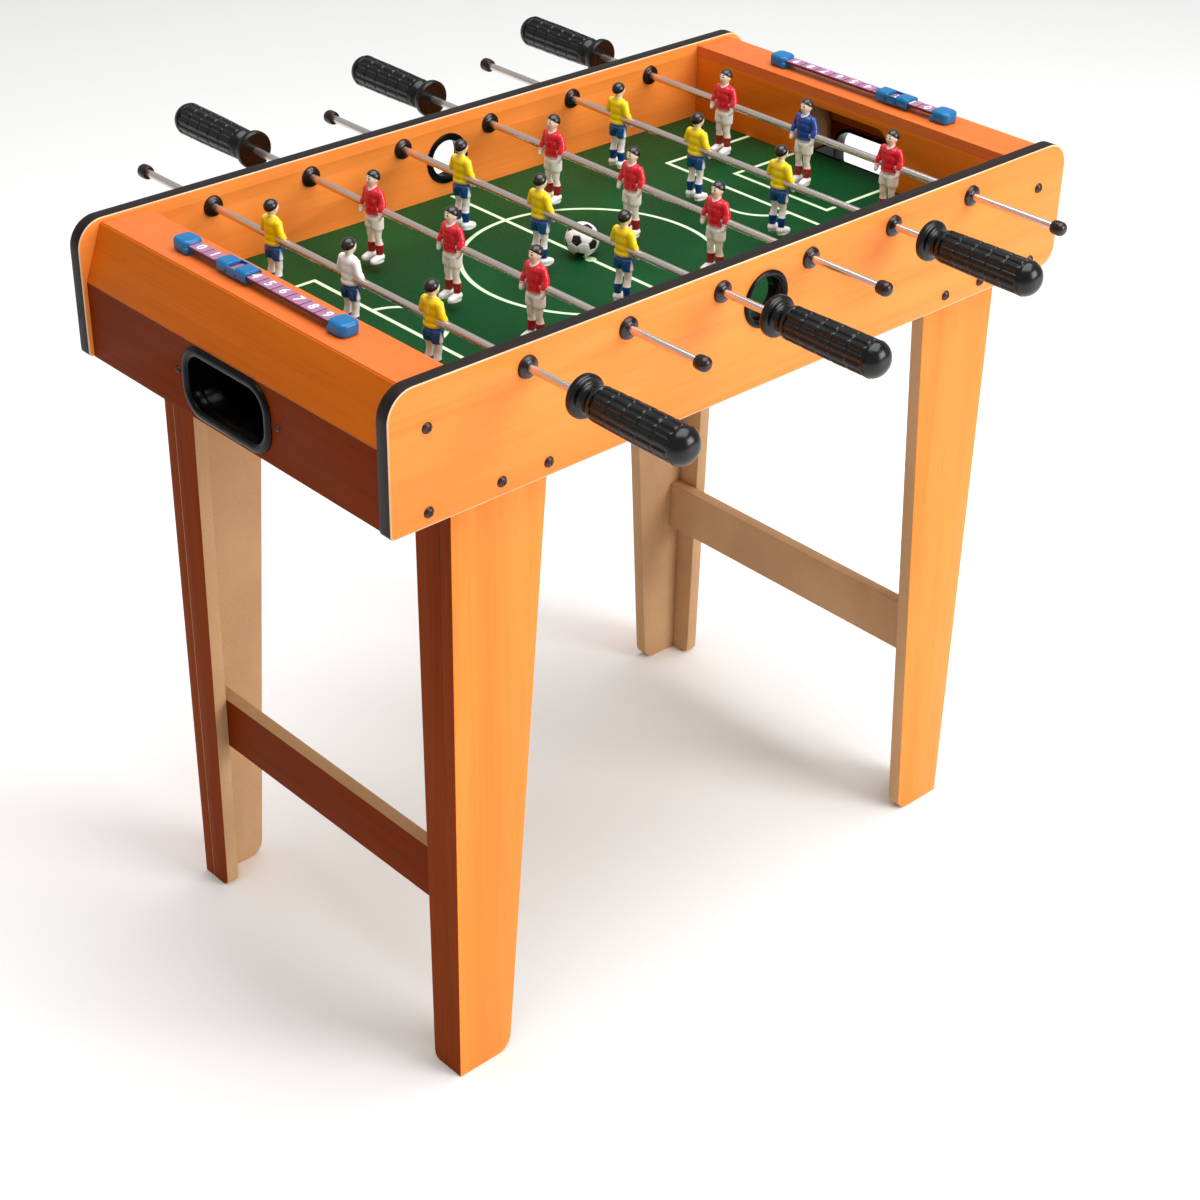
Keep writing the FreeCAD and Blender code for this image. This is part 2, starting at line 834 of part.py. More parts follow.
def counters():
    source = counter_post()
    posts = []
    for end in ends:
        ahead = 1 if end == "right" else -1
        for side, sign in sides.items():
            line = f"{sign} * (=counter_half + =post_long / 2)"
            spot = f"{ahead} * =counter_line"
            posts.append(copy_of(f"post_{end}_{side}", source, x=spot, y=line, z=shelf))
    part(group("counter_posts", posts), "counter_posts")
    for end, rest in marker_rest.items():
        ahead = 1 if end == "right" else -1
        middle = f"{ahead} * =counter_line"
        bar = box(
            f"counter_bar_{end}",
            "=bar_wide",
            "2 * =counter_half",
            "=bar_thick",
            x=f"{middle} - =bar_wide / 2",
            y="-=counter_half",
            z=f"{shelf} + =bar_lift",
        )
        part(bar, f"counter_bar_{end}")
        base = f"{shelf} + =bar_lift + =bar_thick / 2"
        block = box(
            f"marker_block_{end}",
            "=marker_wide",
            "=marker_long",
            "=marker_high",
            x=f"{middle} - =marker_wide / 2",
            y=f"{rest} - =marker_long / 2",
            z=f"{base} - =marker_high / 2",
        )
        slot = box(
            f"marker_slot_{end}",
            "=bar_wide + 2 * =marker_play",
            "=marker_long + 2 * =cut_over",
            "=bar_thick + 2 * =marker_play",
            x=f"{middle} - =bar_wide / 2 - =marker_play",
            y=f"{rest} - =marker_long / 2 - =cut_over",
            z=f"{base} - =bar_thick / 2 - =marker_play",
        )
        window = box(
            f"marker_window_{end}",
            "=bar_wide - 2 * =window_inset",
            "=marker_long / 3",
            "=marker_high",
            x=f"{middle} - =bar_wide / 2 + =window_inset",
            y=f"{rest} - =marker_long / 6",
            z=base,
        )
        sleeve = cut(f"marker_sleeve_{end}", block, slot)
        part(cut(f"counter_marker_{end}", sleeve, window), f"counter_marker_{end}")


for side in sides:
    side_panel(side)
for end in ends:
    end_cover(end)
    inner_wall(end)
    ball_cup(end)
end_blocks()
playfield()
ball_entries()
bushings()
rods()
ball()
legs()
fasteners()
counters()
doc.recompute()

for item in doc.Objects:
    if "Invalid" in item.State or "Error" in item.State:
        raise RuntimeError(f"{item.Name}: {item.State}")
for item in parts:
    shape = item.Shape
    if shape.isNull() or not shape.isValid() or not shape.Solids:
        raise RuntimeError(f"{item.Label} has no valid solid")
    shape.exportStep(f"parts/{item.Label}.step")
    print(item.Label, len(shape.Solids), round(shape.Volume))
print(len(parts), "parts")
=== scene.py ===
import math

import bmesh
import bpy
from mathutils import Matrix, Vector


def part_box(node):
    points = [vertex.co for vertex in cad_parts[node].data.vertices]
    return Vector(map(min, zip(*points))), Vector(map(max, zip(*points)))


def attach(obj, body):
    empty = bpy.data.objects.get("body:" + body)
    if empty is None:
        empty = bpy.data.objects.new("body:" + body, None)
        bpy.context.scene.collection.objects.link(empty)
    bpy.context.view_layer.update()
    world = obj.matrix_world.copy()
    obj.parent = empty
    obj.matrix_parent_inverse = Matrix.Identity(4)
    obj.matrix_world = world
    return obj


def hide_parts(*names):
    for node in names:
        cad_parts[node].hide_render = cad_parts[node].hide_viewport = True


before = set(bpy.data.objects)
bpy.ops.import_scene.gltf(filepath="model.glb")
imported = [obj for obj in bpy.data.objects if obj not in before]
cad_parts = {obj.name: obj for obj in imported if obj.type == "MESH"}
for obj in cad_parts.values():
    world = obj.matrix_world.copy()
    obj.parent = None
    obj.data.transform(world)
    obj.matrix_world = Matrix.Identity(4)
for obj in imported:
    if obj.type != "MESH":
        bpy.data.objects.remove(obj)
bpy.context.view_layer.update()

mm = 0.001
ends = {"left": -1, "right": 1}
sides = {"near": -1, "far": 1}
rodCount = 6
print("frame loaded:", len(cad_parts), "nodes")


# shader helpers: sockets that understand arithmetic

class Wire:
    # an output socket; operators add Math nodes to its material

    def __init__(self, finish, socket):
        self.finish = finish
        self.socket = socket

    def math(self, how, *values):
        return self.finish.node("Math", {"operation": how}, dict(enumerate(values)))

    def __add__(self, other):
        return self.math("ADD", self, other)

    def __radd__(self, other):
        return self.math("ADD", other, self)

    def __sub__(self, other):
        return self.math("SUBTRACT", self, other)

    def __rsub__(self, other):
        return self.math("SUBTRACT", other, self)

    def __mul__(self, other):
        return self.math("MULTIPLY", self, other)

    def __rmul__(self, other):
        return self.math("MULTIPLY", other, self)

    def __pow__(self, other):
        return self.math("POWER", self, other)

    def __rpow__(self, other):
        return self.math("POWER", other, self)

    def __abs__(self):
        return self.math("ABSOLUTE", self)

    def __or__(self, other):
        return self.math("MAXIMUM", self, other)

    def __ror__(self, other):
        return self.math("MAXIMUM", other, self)

    def rise(self, start, end):
        # 0 below start, 1 above end, and smooth between them
        values = {"Value": self, "From Min": start, "From Max": end}
        return self.finish.node("MapRange", {"interpolation_type": "SMOOTHSTEP"}, values)


def paint(code):
    # a screen colour such as "ff9a4b" as linear red, green, blue and alpha
    shares = [int(code[n:n + 2], 16) / 255 for n in (0, 2, 4)]
    return (*[s / 12.92 if s < 0.04045 else ((s + 0.055) / 1.055) ** 2.4 for s in shares], 1)


class Finish:
    # one material and its nodes

    def __init__(self, name):
        self.material = bpy.data.materials.new(name)
        self.material.use_nodes = True
        self.tree = self.material.node_tree
        self.tree.nodes.clear()
        self.coords = self.node("TexCoord", out="Object")

    def node(self, kind, settings=None, values=None, out=0):
        made = self.tree.nodes.new("ShaderNode" + kind)
        for name, value in (settings or {}).items():
            if name == "stops":
                for stop, (spot, colour) in zip(made.color_ramp.elements, value):
                    stop.position = spot
                    stop.color = colour
            else:
                setattr(made, name, value)
        for name, value in (values or {}).items():
            if isinstance(value, Wire):
                self.tree.links.new(value.socket, made.inputs[name])
            else:
                made.inputs[name].default_value = value
        return Wire(self, made.outputs[out]) if made.outputs else None

    def axes(self):
        return [self.node("SeparateXYZ", None, {0: self.coords}, n) for n in range(3)]

    def stretched(self, scale):
        return self.node("VectorMath", {"operation": "MULTIPLY"}, {0: self.coords, 1: scale})

    def noise(self, scale, detail=3, roughness=0.5, twist=0):
        values = {"Vector": self.stretched(scale), "Scale": 1, "Detail": detail,
                  "Roughness": roughness, "Distortion": twist}
        return self.node("TexNoise", None, values)

    def mix(self, share, first, second):
        return self.node("Mix", {"data_type": "RGBA"}, {0: share, 6: first, 7: second}, 2)

    def bump(self, height, strength, distance):
        values = {"Strength": strength, "Distance": distance, "Height": height}
        return self.node("Bump", None, values)

    def surface(self, **values):
        named = {key.replace("_", " "): value for key, value in values.items()}
        shader = self.node("BsdfPrincipled", None, named)
        self.node("OutputMaterial", None, {0: shader})
        return self.material


# wood, board and plastic finishes

def wood(name, light, deep, line, grain, gloss=0.38, shine=0.2):
    # printed wood-grain laminate; grain is the axis (0, 1 or 2) along which the figure runs
    f = Finish(name)
    fine = [420, 420, 420]
    fine[grain] = 7
    broad = [34, 34, 34]
    broad[grain] = 2.2
    pores = [1700, 1700, 1700]
    pores[grain] = 55
    figure = f.noise(broad, 3, 0.5, 0.6).rise(0.36, 0.68)
    streak = f.noise(fine, 4, 0.62).rise(0.45, 0.75)
    pore = f.noise(pores, 2).rise(0.62, 0.74)
    scuff = f.noise((60, 60, 60), 5, 0.7).rise(0.6, 0.8)
    colour = f.mix(figure * 0.5, paint(light), paint(deep))
    colour = f.mix(streak * 0.22, colour, paint(line))
    colour = f.mix(pore * 0.22, colour, paint(line))
    rough = gloss + 0.14 * scuff + 0.08 * streak
    bump = f.bump(streak * 0.4 + pore, 0.35, 0.00012)
    return f.surface(Base_Color=colour, Roughness=rough, Normal=bump, Specular_IOR_Level=shine)


def rawBoard(name, tone, dark):
    # sanded fibreboard: felted fibres and darker specks
    f = Finish(name)
    fibre = f.noise((900, 900, 350), 5, 0.7).rise(0.35, 0.7)
    speck = f.noise((2600, 2600, 2600), 1).rise(0.66, 0.74)
    cloud = f.noise((14, 14, 9), 3).rise(0.35, 0.7)
    colour = f.mix(cloud * 0.5, paint(tone), paint(dark))
    colour = f.mix(fibre * 0.28, colour, paint("d6b18a"))
    colour = f.mix(speck * 0.6, colour, paint("5c4027"))
    bump = f.bump(fibre, 0.5, 0.0002)
    rough = 0.72 + 0.2 * fibre
    return f.surface(Base_Color=colour, Roughness=rough, Normal=bump, Specular_IOR_Level=0.2)


def edgeBand(name):
    # dark plastic strip glued on the panel's rim, rubbed lighter in places
    f = Finish(name)
    rub = f.noise((45, 45, 45), 5, 0.65).rise(0.5, 0.78)
    grain = f.noise((900, 900, 900), 2)
    colour = f.mix(rub * 0.5, paint("180e0a"), paint("382820"))
    bump = f.bump(grain, 0.3, 0.0001)
    rough = 0.45 + 0.2 * rub
    return f.surface(Base_Color=colour, Roughness=rough, Normal=bump, Specular_IOR_Level=0.25)


def plastic(name, base, worn, gloss, grainSize, grainDepth=0.00006, coat=0.0, shine=0.4):
    # moulded plastic with a faint skin, a few dull patches and handling marks
    f = Finish(name)
    skin = f.noise((grainSize, grainSize, grainSize), 2)
    dull = f.noise((38, 38, 38), 4, 0.65).rise(0.45, 0.8)
    scratch = f.noise((160, 2400, 900), 2, 0.5, 1.2).rise(0.68, 0.75)
    colour = f.mix(dull * 0.45 + scratch * 0.2, paint(base), paint(worn))
    bump = f.bump(skin + scratch * 0.6, 0.35, grainDepth)
    rough = gloss + 0.18 * dull + 0.15 * scratch
    return f.surface(Base_Color=colour, Roughness=rough, Normal=bump, Coat_Weight=coat,
                     Coat_Roughness=0.08, Specular_IOR_Level=shine)


def steel(name):
    # chromed tube with a little haze and soft dull patches
    f = Finish(name)
    haze = f.noise((55, 22, 55), 4, 0.6).rise(0.4, 0.75)
    dull = f.noise((160, 40, 160), 2).rise(0.55, 0.8)
    colour = f.mix(haze * 0.3 + dull * 0.15, paint("e2d8d2"), paint("b4a8a2"))
    rough = 0.2 + 0.1 * haze + 0.06 * dull
    return f.surface(Base_Color=colour, Metallic=0.9, Roughness=rough)


# the field's print, measured from its middle, and one painted shade colour

fieldLook = {
    "grass": "003f1a",
    "light": "035426",
    # shade is painted shade, not print
    "shade": "223a08",
    "blade": "013f1d",
    "line": "d8f0c8",
    "lineWidth": 0.0034,
    "circle": 0.101,
    "boxFront": 0.186,
    "boxHalf": 0.106,
    "goalFront": 0.213,
    "goalHalf": 0.052,
    "arcCentre": 0.190,
    "arc": 0.036,
    "spot": 0.0045,
    "reach": 0.168,
    "soft": 0.0005,
}


def fieldFinish(name):
    look = fieldLook
    f = Finish(name)
    x, y, z = f.axes()
    across, along = abs(x), abs(y)
    soft = look["soft"]
    half = look["lineWidth"] / 2

    def stripe(distance):
        return 1 - abs(distance).rise(half - soft, half + soft)

    def inside(value, limit):
        return 1 - value.rise(limit - soft, limit + soft)

    def reach(u, v):
        return (u * u + v * v) ** 0.5

    def area(front, width):
        # an area before the goal: the line across the field, then its two sides
        line = stripe(across - front) * inside(along, width + half)
        return line | stripe(along - width) * across.rise(front - half, front)

    lines = stripe(x) * inside(along, look["reach"])
    lines = lines | stripe(reach(x, y) - look["circle"]) | inside(reach(x, y), look["spot"])
    lines = lines | area(look["boxFront"], look["boxHalf"])
    lines = lines | area(look["goalFront"], look["goalHalf"])
    arc = stripe(reach(across - look["arcCentre"], y) - look["arc"])
    lines = lines | arc * inside(across, look["boxFront"])
    up = f.node("SeparateXYZ", None, {0: f.node("NewGeometry", out="Normal")}, 2)
    lines = lines * up.rise(0.8, 0.95)
    patch = f.noise((9, 9, 9), 3, 0.55, 0.4).rise(0.35, 0.7)
    blade = f.noise((700, 260, 700), 4, 0.7).rise(0.4, 0.7)
    # painted shade in an olive tone, strongest towards the far corners of the field by the end
    # walls
    corner = (across * 1.5 + y).rise(0.36, 0.62)
    wear = f.noise((420, 420, 420), 4, 0.7).rise(0.62, 0.8)
    colour = f.mix(patch * 0.55, paint(look["grass"]), paint(look["light"]))
    colour = f.mix(corner * 0.5, colour, paint(look["shade"]))
    colour = f.mix(blade * 0.22, colour, paint(look["blade"]))
    colour = f.mix(lines * (1 - 0.35 * wear), colour, paint(look["line"]))
    bump = f.bump(blade * 0.5 + lines, 0.3, 0.0001)
    rough = 0.5 + 0.16 * blade
    return f.surface(Base_Color=colour, Roughness=rough, Normal=bump, Specular_IOR_Level=0.14)


# the men's kits; levels are measured from the rod, up along the body

kitLooks = {
    "yellow": {"shirt": "ffdc00", "trim": "fff3c4", "shorts": "0d4f8c", "legs": "fdf8f2",
               "socks": "0a4288"},
    "red": {"shirt": "e0102a", "trim": "fde4de", "shorts": "fff8ee", "legs": "fff2e4",
            "socks": "a80c1e"},
    "whiteKeeper": {"shirt": "fbfdf8", "trim": "d8e6ea", "shorts": "123c78", "legs": "fdf8f2",
                    "socks": "0f3c7c"},
    "blueKeeper": {"shirt": "143f92", "trim": "dfe6f2", "shorts": "fff8ee", "legs": "fff2e4",
                   "socks": "b01022"},
}
manLook = {
    "hair": "17110f",
    "skin": "fae0c4",
    "hand": "fdf2e6",
    "boot": "fcfbf8",
    "sole": "c9c6c0",
    "lip": "b5584c",
    "blush": "e79a80",
    "worn": "fff8ee",
    "hem": -0.0050,
    "shortsEnd": -0.0165,
    "sockTop": -0.0288,
    "bootTop": -0.0368,
    "soleTop": -0.0425,
    "collar": 0.0158,
    "neckTop": 0.0172,
    "wrist": -0.0012,
    "handOut": 0.0086,
    "hemBand": 0.0011,
    "cuffBand": 0.0009,
    "soft": 0.00018,
}


def manFinish(name, kit):
    # hand-painted kit: each colour stops at a level of the body, on a slightly uneven line
    look = manLook
    f = Finish(name)
    x, y, z = f.axes()
    drift = (f.noise((520, 520, 520), 2) - 0.5) * 0.0007
    level = z + drift
    soft = look["soft"]

    def above(limit, value=level):
        return value.rise(limit - soft, limit + soft)

    def dot(px, py, pz, size, flat=1.0):
        # a round spot on each side of the face; flat above 1 squashes it into a bar
        dx, dy, dz = x - px, out - py, z - pz
        near = (dx * dx + dy * dy + dz * dz * flat) ** 0.5
        return 1 - near.rise(size * 0.8, size)

    out = abs(y)
    hand = (1 - above(look["wrist"])) * above(look["handOut"], out)
    colour = f.mix(above(look["soleTop"]), paint(look["sole"]), paint(look["boot"]))
    colour = f.mix(above(look["bootTop"]), colour, paint(kit["socks"]))
    colour = f.mix(above(look["sockTop"]), colour, paint(kit["legs"]))
    colour = f.mix(above(look["shortsEnd"]), colour, paint(kit["shorts"]))
    colour = f.mix(above(look["hem"]), colour, paint(kit["shirt"]))
    hemBand = above(look["hem"]) * (1 - above(look["hem"] + look["hemBand"]))
    colour = f.mix(hemBand * 0.7, colour, paint(kit["trim"]))
    colour = f.mix(hand, colour, paint(look["hand"]))
    cuff = above(look["wrist"]) * (1 - above(look["wrist"] + look["cuffBand"]))
    colour = f.mix(cuff * above(look["handOut"], out), colour, paint(kit["trim"]))
    neckline = level - 0.25 * out + 0.35 * x
    colour = f.mix(above(look["collar"], neckline), colour, paint(kit["trim"]))
    colour = f.mix(above(look["neckTop"], neckline), colour, paint(look["skin"]))
    blush = dot(0.0045, 0.0026, 0.0210, 0.0016)
    colour = f.mix(blush * 0.25, colour, paint(look["blush"]))
    eye = dot(0.0052, 0.0017, 0.0238, 0.00078)
    brow = dot(0.0050, 0.0017, 0.0256, 0.0010, 6.0)
    mouth = dot(0.0050, 0, 0.0203, 0.0012, 7.0)
    colour = f.mix(mouth, colour, paint(look["lip"]))
    colour = f.mix(eye | brow, colour, paint(look["hair"]))
    hairline = z - 0.62 * x + 0.12 * out + 0.5 * drift
    hair = above(0.0238, hairline) * above(0.0195)
    colour = f.mix(hair, colour, paint(look["hair"]))
    rub = f.noise((210, 210, 210), 4, 0.6).rise(0.55, 0.8)
    colour = f.mix(rub * 0.10, colour, paint(look["worn"]))
    bump = f.bump(f.noise((900, 900, 500), 3), 0.25, 0.00012)
    rough = 0.28 + 0.2 * rub
    return f.surface(Base_Color=colour, Roughness=rough, Normal=bump, Coat_Weight=0.25,
                     Coat_Roughness=0.12)


# each finish: its material's name, its tones, and how rough, grained and shiny it is

woodLooks = {
    "laminate": ("laminate_long", "fb923e", "f07c2c", "d86a20", 0),
    "laminateUp": ("laminate_leg", "f98f36", "ec7a22", "cc5a10", 2),
    "laminateShelf": ("laminate_shelf", "e67434", "dc662a", "c4521c", 1),
    # the next three are the same laminate painted darker: painted shade on the end slope, the
    # upright end faces and stretchers, and the legs' end faces
    "laminateEnd": ("laminate_end", "d06810", "c05a08", "944004", 1, 0.45, 0.08),
    "shadedLaminateFoot": ("laminate_low_end", "7a2c00", "6a2400", "481800", 1, 0.5, 0.04),
    "shadedLaminateLegEnd": ("laminate_leg_end", "883602", "722a00", "4c1a00", 2, 0.5, 0.04),
    "laminateWall": ("laminate_wall", "ec7c1e", "da6c12", "aa4e0a", 1, 0.45, 0.1),
}
boardLooks = {
    "paleEdge": ("laminate_cut_edge", "e9cfae", "c99a6a"),
    "rawBoard": ("raw_board", "c69c72", "a67c54"),
}
plasticLooks = {
    "black": ("black_plastic", "040404", "0c0c0c", 0.24, 1100, 0.0001, 0.0, 0.16),
    "grip": ("grip_plastic", "050505", "101010", 0.22, 1500),
    "brown": ("dark_plastic", "1e0c06", "3a1d12", 0.2, 1200, 0.00006, 0.25, 0.35),
    "white": ("ball_white", "f3f2ee", "dcd9d2", 0.25, 1800, 0.00006, 0.2),
    "patch": ("ball_black", "121214", "2e2e30", 0.25, 1800, 0.00006, 0.2),
    "screw": ("screw_steel", "32120a", "6a3826", 0.3, 2600, 0.00005, 0.2),
    "blue": ("counter_blue", "0f6aa2", "2f8cbc", 0.26, 1500, 0.00008, 0.15, 0.3),
    "tile": ("counter_tile", "a27092", "c29ab2", 0.35, 1500),
    "bar": ("counter_bar", "52141f", "7a3040", 0.4, 1500),
    "digit": ("counter_digit", "fbeef4", "e8cfdc", 0.4, 2000, 0.00004),
}
finishes = {
    "edgeBand": edgeBand("edge_band"),
    "field": fieldFinish("field_print"),
    "steel": steel("rod_steel"),
}
for make, looks in ((wood, woodLooks), (rawBoard, boardLooks), (plastic, plasticLooks)):
    for word, look in looks.items():
        finishes[word] = make(*look)
for kit, look in kitLooks.items():
    finishes[kit] = manFinish("men_" + kit, look)
print("finishes made:", len(finishes))


# shapes

def ease(share):
    # 0 up to 0, 1 from 1 on, and smooth between
    share = min(1, max(0, share))
    return share * share * (3 - 2 * share)


def ramp(value, start, end):
    return ease((value - start) / (end - start))


def rounded(points, closed=True, step=12):
    # replaces each corner (a, b, radius) by an arc; a corner without a radius stays sharp
    made = []
    count = len(points)
    for n, point in enumerate(points):
        corner = Vector(point[:2])
        radius = point[2] if len(point) > 2 else 0
        if radius == 0 or (not closed and n in (0, count - 1)):
            made.append(corner)
            continue
        back = (Vector(points[n - 1][:2]) - corner).normalized()
        ahead = (Vector(points[(n + 1) % count][:2]) - corner).normalized()
        half = back.angle(ahead) / 2
        reach = radius / math.tan(half)
        centre = corner + (back + ahead).normalized() * (radius / math.sin(half))
        start = corner + back * reach - centre
        sweep = (math.pi - 2 * half) * (1 if back.cross(ahead) < 0 else -1)
        pieces = max(3, int(step * (math.pi - 2 * half) / math.pi * 2))
        for k in range(pieces + 1):
            turn = sweep * k / pieces
            cosine, sine = math.cos(turn), math.sin(turn)
            swung = (start.x * cosine - start.y * sine, start.x * sine + start.y * cosine)
            made.append(centre + Vector(swung))
    return made


def circle(radius, count):
    # count points around (0, 0)
    turns = [2 * math.pi * n / count for n in range(count)]
    return [(radius * math.cos(t), radius * math.sin(t)) for t in turns]


def ring(centre, radius, count=48):
    return [Vector((centre[0] + u, centre[1] + v)) for u, v in circle(radius, count)]


def rectangle(low, high):
    (a, b), (c, d) = low, high
    return [Vector(p) for p in ((a, b), (c, b), (c, d), (a, d))]


planes = {
    "XZ": Matrix(((1, 0, 0), (0, 0, -1), (0, 1, 0))),
    "YZ": Matrix(((0, 0, 1), (1, 0, 0), (0, 1, 0))),
    "XY": Matrix.Identity(3),
}


def board(outline, plane, middle, thick, edge, choose=None, holes=()):
    # a flat board with softened edges; choose(normal) gives each face's finish number
    curve = bpy.data.curves.new("board", "CURVE")
    curve.dimensions = "2D"
    curve.fill_mode = "BOTH"
    curve.extrude = thick / 2 - edge
    curve.bevel_depth = edge
    curve.bevel_resolution = 2
    curve.offset = -edge
    for n, loop in enumerate([outline, *holes]):
        area = sum(a.cross(b) for a, b in zip(loop, [*loop[1:], loop[0]]))
        ordered = loop if (area > 0) == (n == 0) else loop[::-1]
        spline = curve.splines.new("POLY")
        spline.points.add(len(ordered) - 1)
        for point, at in zip(spline.points, ordered):
            point.co = (at.x, at.y, 0, 1)
        spline.use_cyclic_u = True
    holder = linked("board", curve)
    mesh = solved(holder)
    bpy.data.objects.remove(holder)
    turn = planes[plane].to_4x4()
    away = turn.col[2].to_3d()
    mesh.transform(Matrix.Translation(Vector([abs(a) for a in away]) * middle) @ turn)
    clean = bmesh.new()
    clean.from_mesh(mesh)
    bmesh.ops.remove_doubles(clean, verts=clean.verts, dist=1e-6)
    bmesh.ops.recalc_face_normals(clean, faces=clean.faces)
    for face in clean.faces:
        face.material_index = choose(face.normal) if choose else 0
    clean.to_mesh(mesh)
    clean.free()
    return mesh


def surfaceOf(rows, closedAcross=True, closedAlong=False, capStart=False, capEnd=False,
              index=0):
    # joins equal rows of points with faces; a row of one point is a pole
    bm = bmesh.new()
    made = [[bm.verts.new(p) for p in row] for row in rows]
    pairs = list(zip(made, made[1:]))
    if closedAlong:
        pairs.append((made[-1], made[0]))
    for low, high in pairs:
        count = max(len(low), len(high))
        for n in range(count if closedAcross else count - 1):
            m = (n + 1) % count
            corners = [low[n % len(low)], low[m % len(low)],
                       high[m % len(high)], high[n % len(high)]]
            kept = list(dict.fromkeys(corners))
            if len(kept) > 2:
                bm.faces.new(kept)
    if capStart:
        bm.faces.new(made[0])
    if capEnd:
        bm.faces.new(made[-1])
    bmesh.ops.recalc_face_normals(bm, faces=bm.faces)
    for face in bm.faces:
        face.material_index = index
    mesh = bpy.data.meshes.new("surface")
    bm.to_mesh(mesh)
    bm.free()
    return mesh


def turned(radius, level, steps):
    # one row of points about the Y axis; a radius of 0 gives a single pole
    return [(u, level, v) for u, v in circle(radius, steps if radius > 0 else 1)]


def lathe(profile, steps, closed=False):
    # turns a profile of (radius, distance) about the Y axis
    return surfaceOf([turned(*point, steps) for point in profile], closedAlong=closed)


def loopOf(halfWide, halfDeep, corner, step=12):
    # a rounded rectangle about (0, 0)
    return rounded([(halfWide, -halfDeep, corner), (halfWide, halfDeep, corner),
                    (-halfWide, halfDeep, corner), (-halfWide, -halfDeep, corner)], step=step)


def block(half, level, height, corner, edge, index=0):
    # an upright rounded block on z = level, with softened top and bottom edges
    rows = []
    for turn in range(5):
        angle = math.pi / 2 * turn / 4
        rows.append((edge * (1 - math.sin(angle)), level + edge * (1 - math.cos(angle))))
    rows += [(inset, 2 * level + height - z) for inset, z in reversed(rows)]
    loops = []
    for inset, z in rows:
        around = loopOf(half[0] - inset, half[1] - inset, max(corner - inset, corner * 0.3))
        loops.append([(p.x, p.y, z) for p in around])
    return surfaceOf(loops, capStart=True, capEnd=True, index=index)


def piece(name, parts, looks, body, nodes, slot="laminate", smooth=35):
    # one visible piece from several meshes, each given alone or with a matrix
    bm = bmesh.new()
    for part in parts:
        mesh, move = part if isinstance(part, tuple) else (part, None)
        before = len(bm.verts)
        bm.from_mesh(mesh)
        if move is not None:
            bm.verts.ensure_lookup_table()
            bmesh.ops.transform(bm, matrix=move, verts=bm.verts[before:])
    mesh = bpy.data.meshes.new(name)
    bm.to_mesh(mesh)
    bm.free()
    coat(mesh, looks, smooth)
    placed(name, mesh, Matrix.Identity(4), body, nodes, slot)


def coat(mesh, looks, smooth=180):
    # gives a mesh its finishes and smooth shading, with edges sharper than smooth kept crisp
    for look in looks:
        mesh.materials.append(finishes[look])
    mesh.polygons.foreach_set("use_smooth", [True] * len(mesh.polygons))
    if smooth < 180:
        mesh.set_sharp_from_angle(angle=math.radians(smooth))


def linked(name, data):
    made = bpy.data.objects.new(name, data)
    bpy.context.scene.collection.objects.link(made)
    return made


def solved(holder):
    # the mesh that an object's curve, text or modifiers give
    graph = bpy.context.evaluated_depsgraph_get()
    return bpy.data.meshes.new_from_object(holder.evaluated_get(graph))


def placed(name, mesh, move, body, nodes, slot):
    made = linked(name, mesh)
    made.matrix_world = move
    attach(made, body)
    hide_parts(*nodes)


def shift(x=0.0, y=0.0, z=0.0, turn=0.0):
    return Matrix.Translation((x, y, z)) @ Matrix.Rotation(math.radians(turn), 4, "Z")


def middleOf(node):
    low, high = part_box(node)
    return (low + high) / 2


def facing(axis, hit, miss, limit=0.6, way=0):
    # a choose for board: hit on faces that look along axis, and only towards way if it is given
    def choose(normal):
        share = normal[axis] * way if way else abs(normal[axis])
        return hit if share > limit else miss
    return choose


# cabinet

panelLook = {
    "roundTop": 0.022,
    "roundLeft": 0.004,
    "roundRight": 0.016,
    "edge": 0.0011,
    "rodHole": 5.5 * mm,
    "entryHole": 17 * mm,
}
rodLevel = middleOf("rod_tube_1").z
rodLines = [middleOf(f"rod_tube_{n + 1}").x for n in range(rodCount)]
entryLevel = middleOf("ball_entries").z


def sidePanels():
    look = panelLook
    for side in sides:
        node = f"side_panel_{side}"
        low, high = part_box(node)
        outline = rounded([
            (low.x, low.z, look["roundLeft"]),
            (high.x, low.z, look["roundRight"]),
            (high.x, high.z, look["roundTop"]),
            (low.x, high.z, look["roundTop"]),
        ], step=20)
        holes = [ring((x, rodLevel), look["rodHole"]) for x in rodLines]
        holes.append(ring((0, entryLevel), look["entryHole"], 64))

        def choose(normal):
            # printed face, cut bevel, then the band around the rim
            if abs(normal.y) > 0.995:
                return 0
            return 2 if abs(normal.y) > 0.5 else 1

        middle = (low.y + high.y) / 2
        mesh = board(outline, "XZ", middle, high.y - low.y, look["edge"], choose, holes)
        piece(f"{node}_board", [mesh], ["laminate", "edgeBand", "paleEdge"], "table", [node])


def reachOf(node):
    # how far a node's nearer and farther faces stand from the middle along the table
    low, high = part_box(node)
    return sorted((abs(low.x), abs(high.x)))


coverLook = {
    "thick": 0.009,
    "foldIn": 0.016,
    "foldLevel": 0.574,
    "crease": 0.0008,
    "seam": 0.0002,
    "edge": 0.0004,
    "mouthHalf": 0.0482,
    "mouthHigh": 0.0242,
    "mouthRound": 0.0182,
}


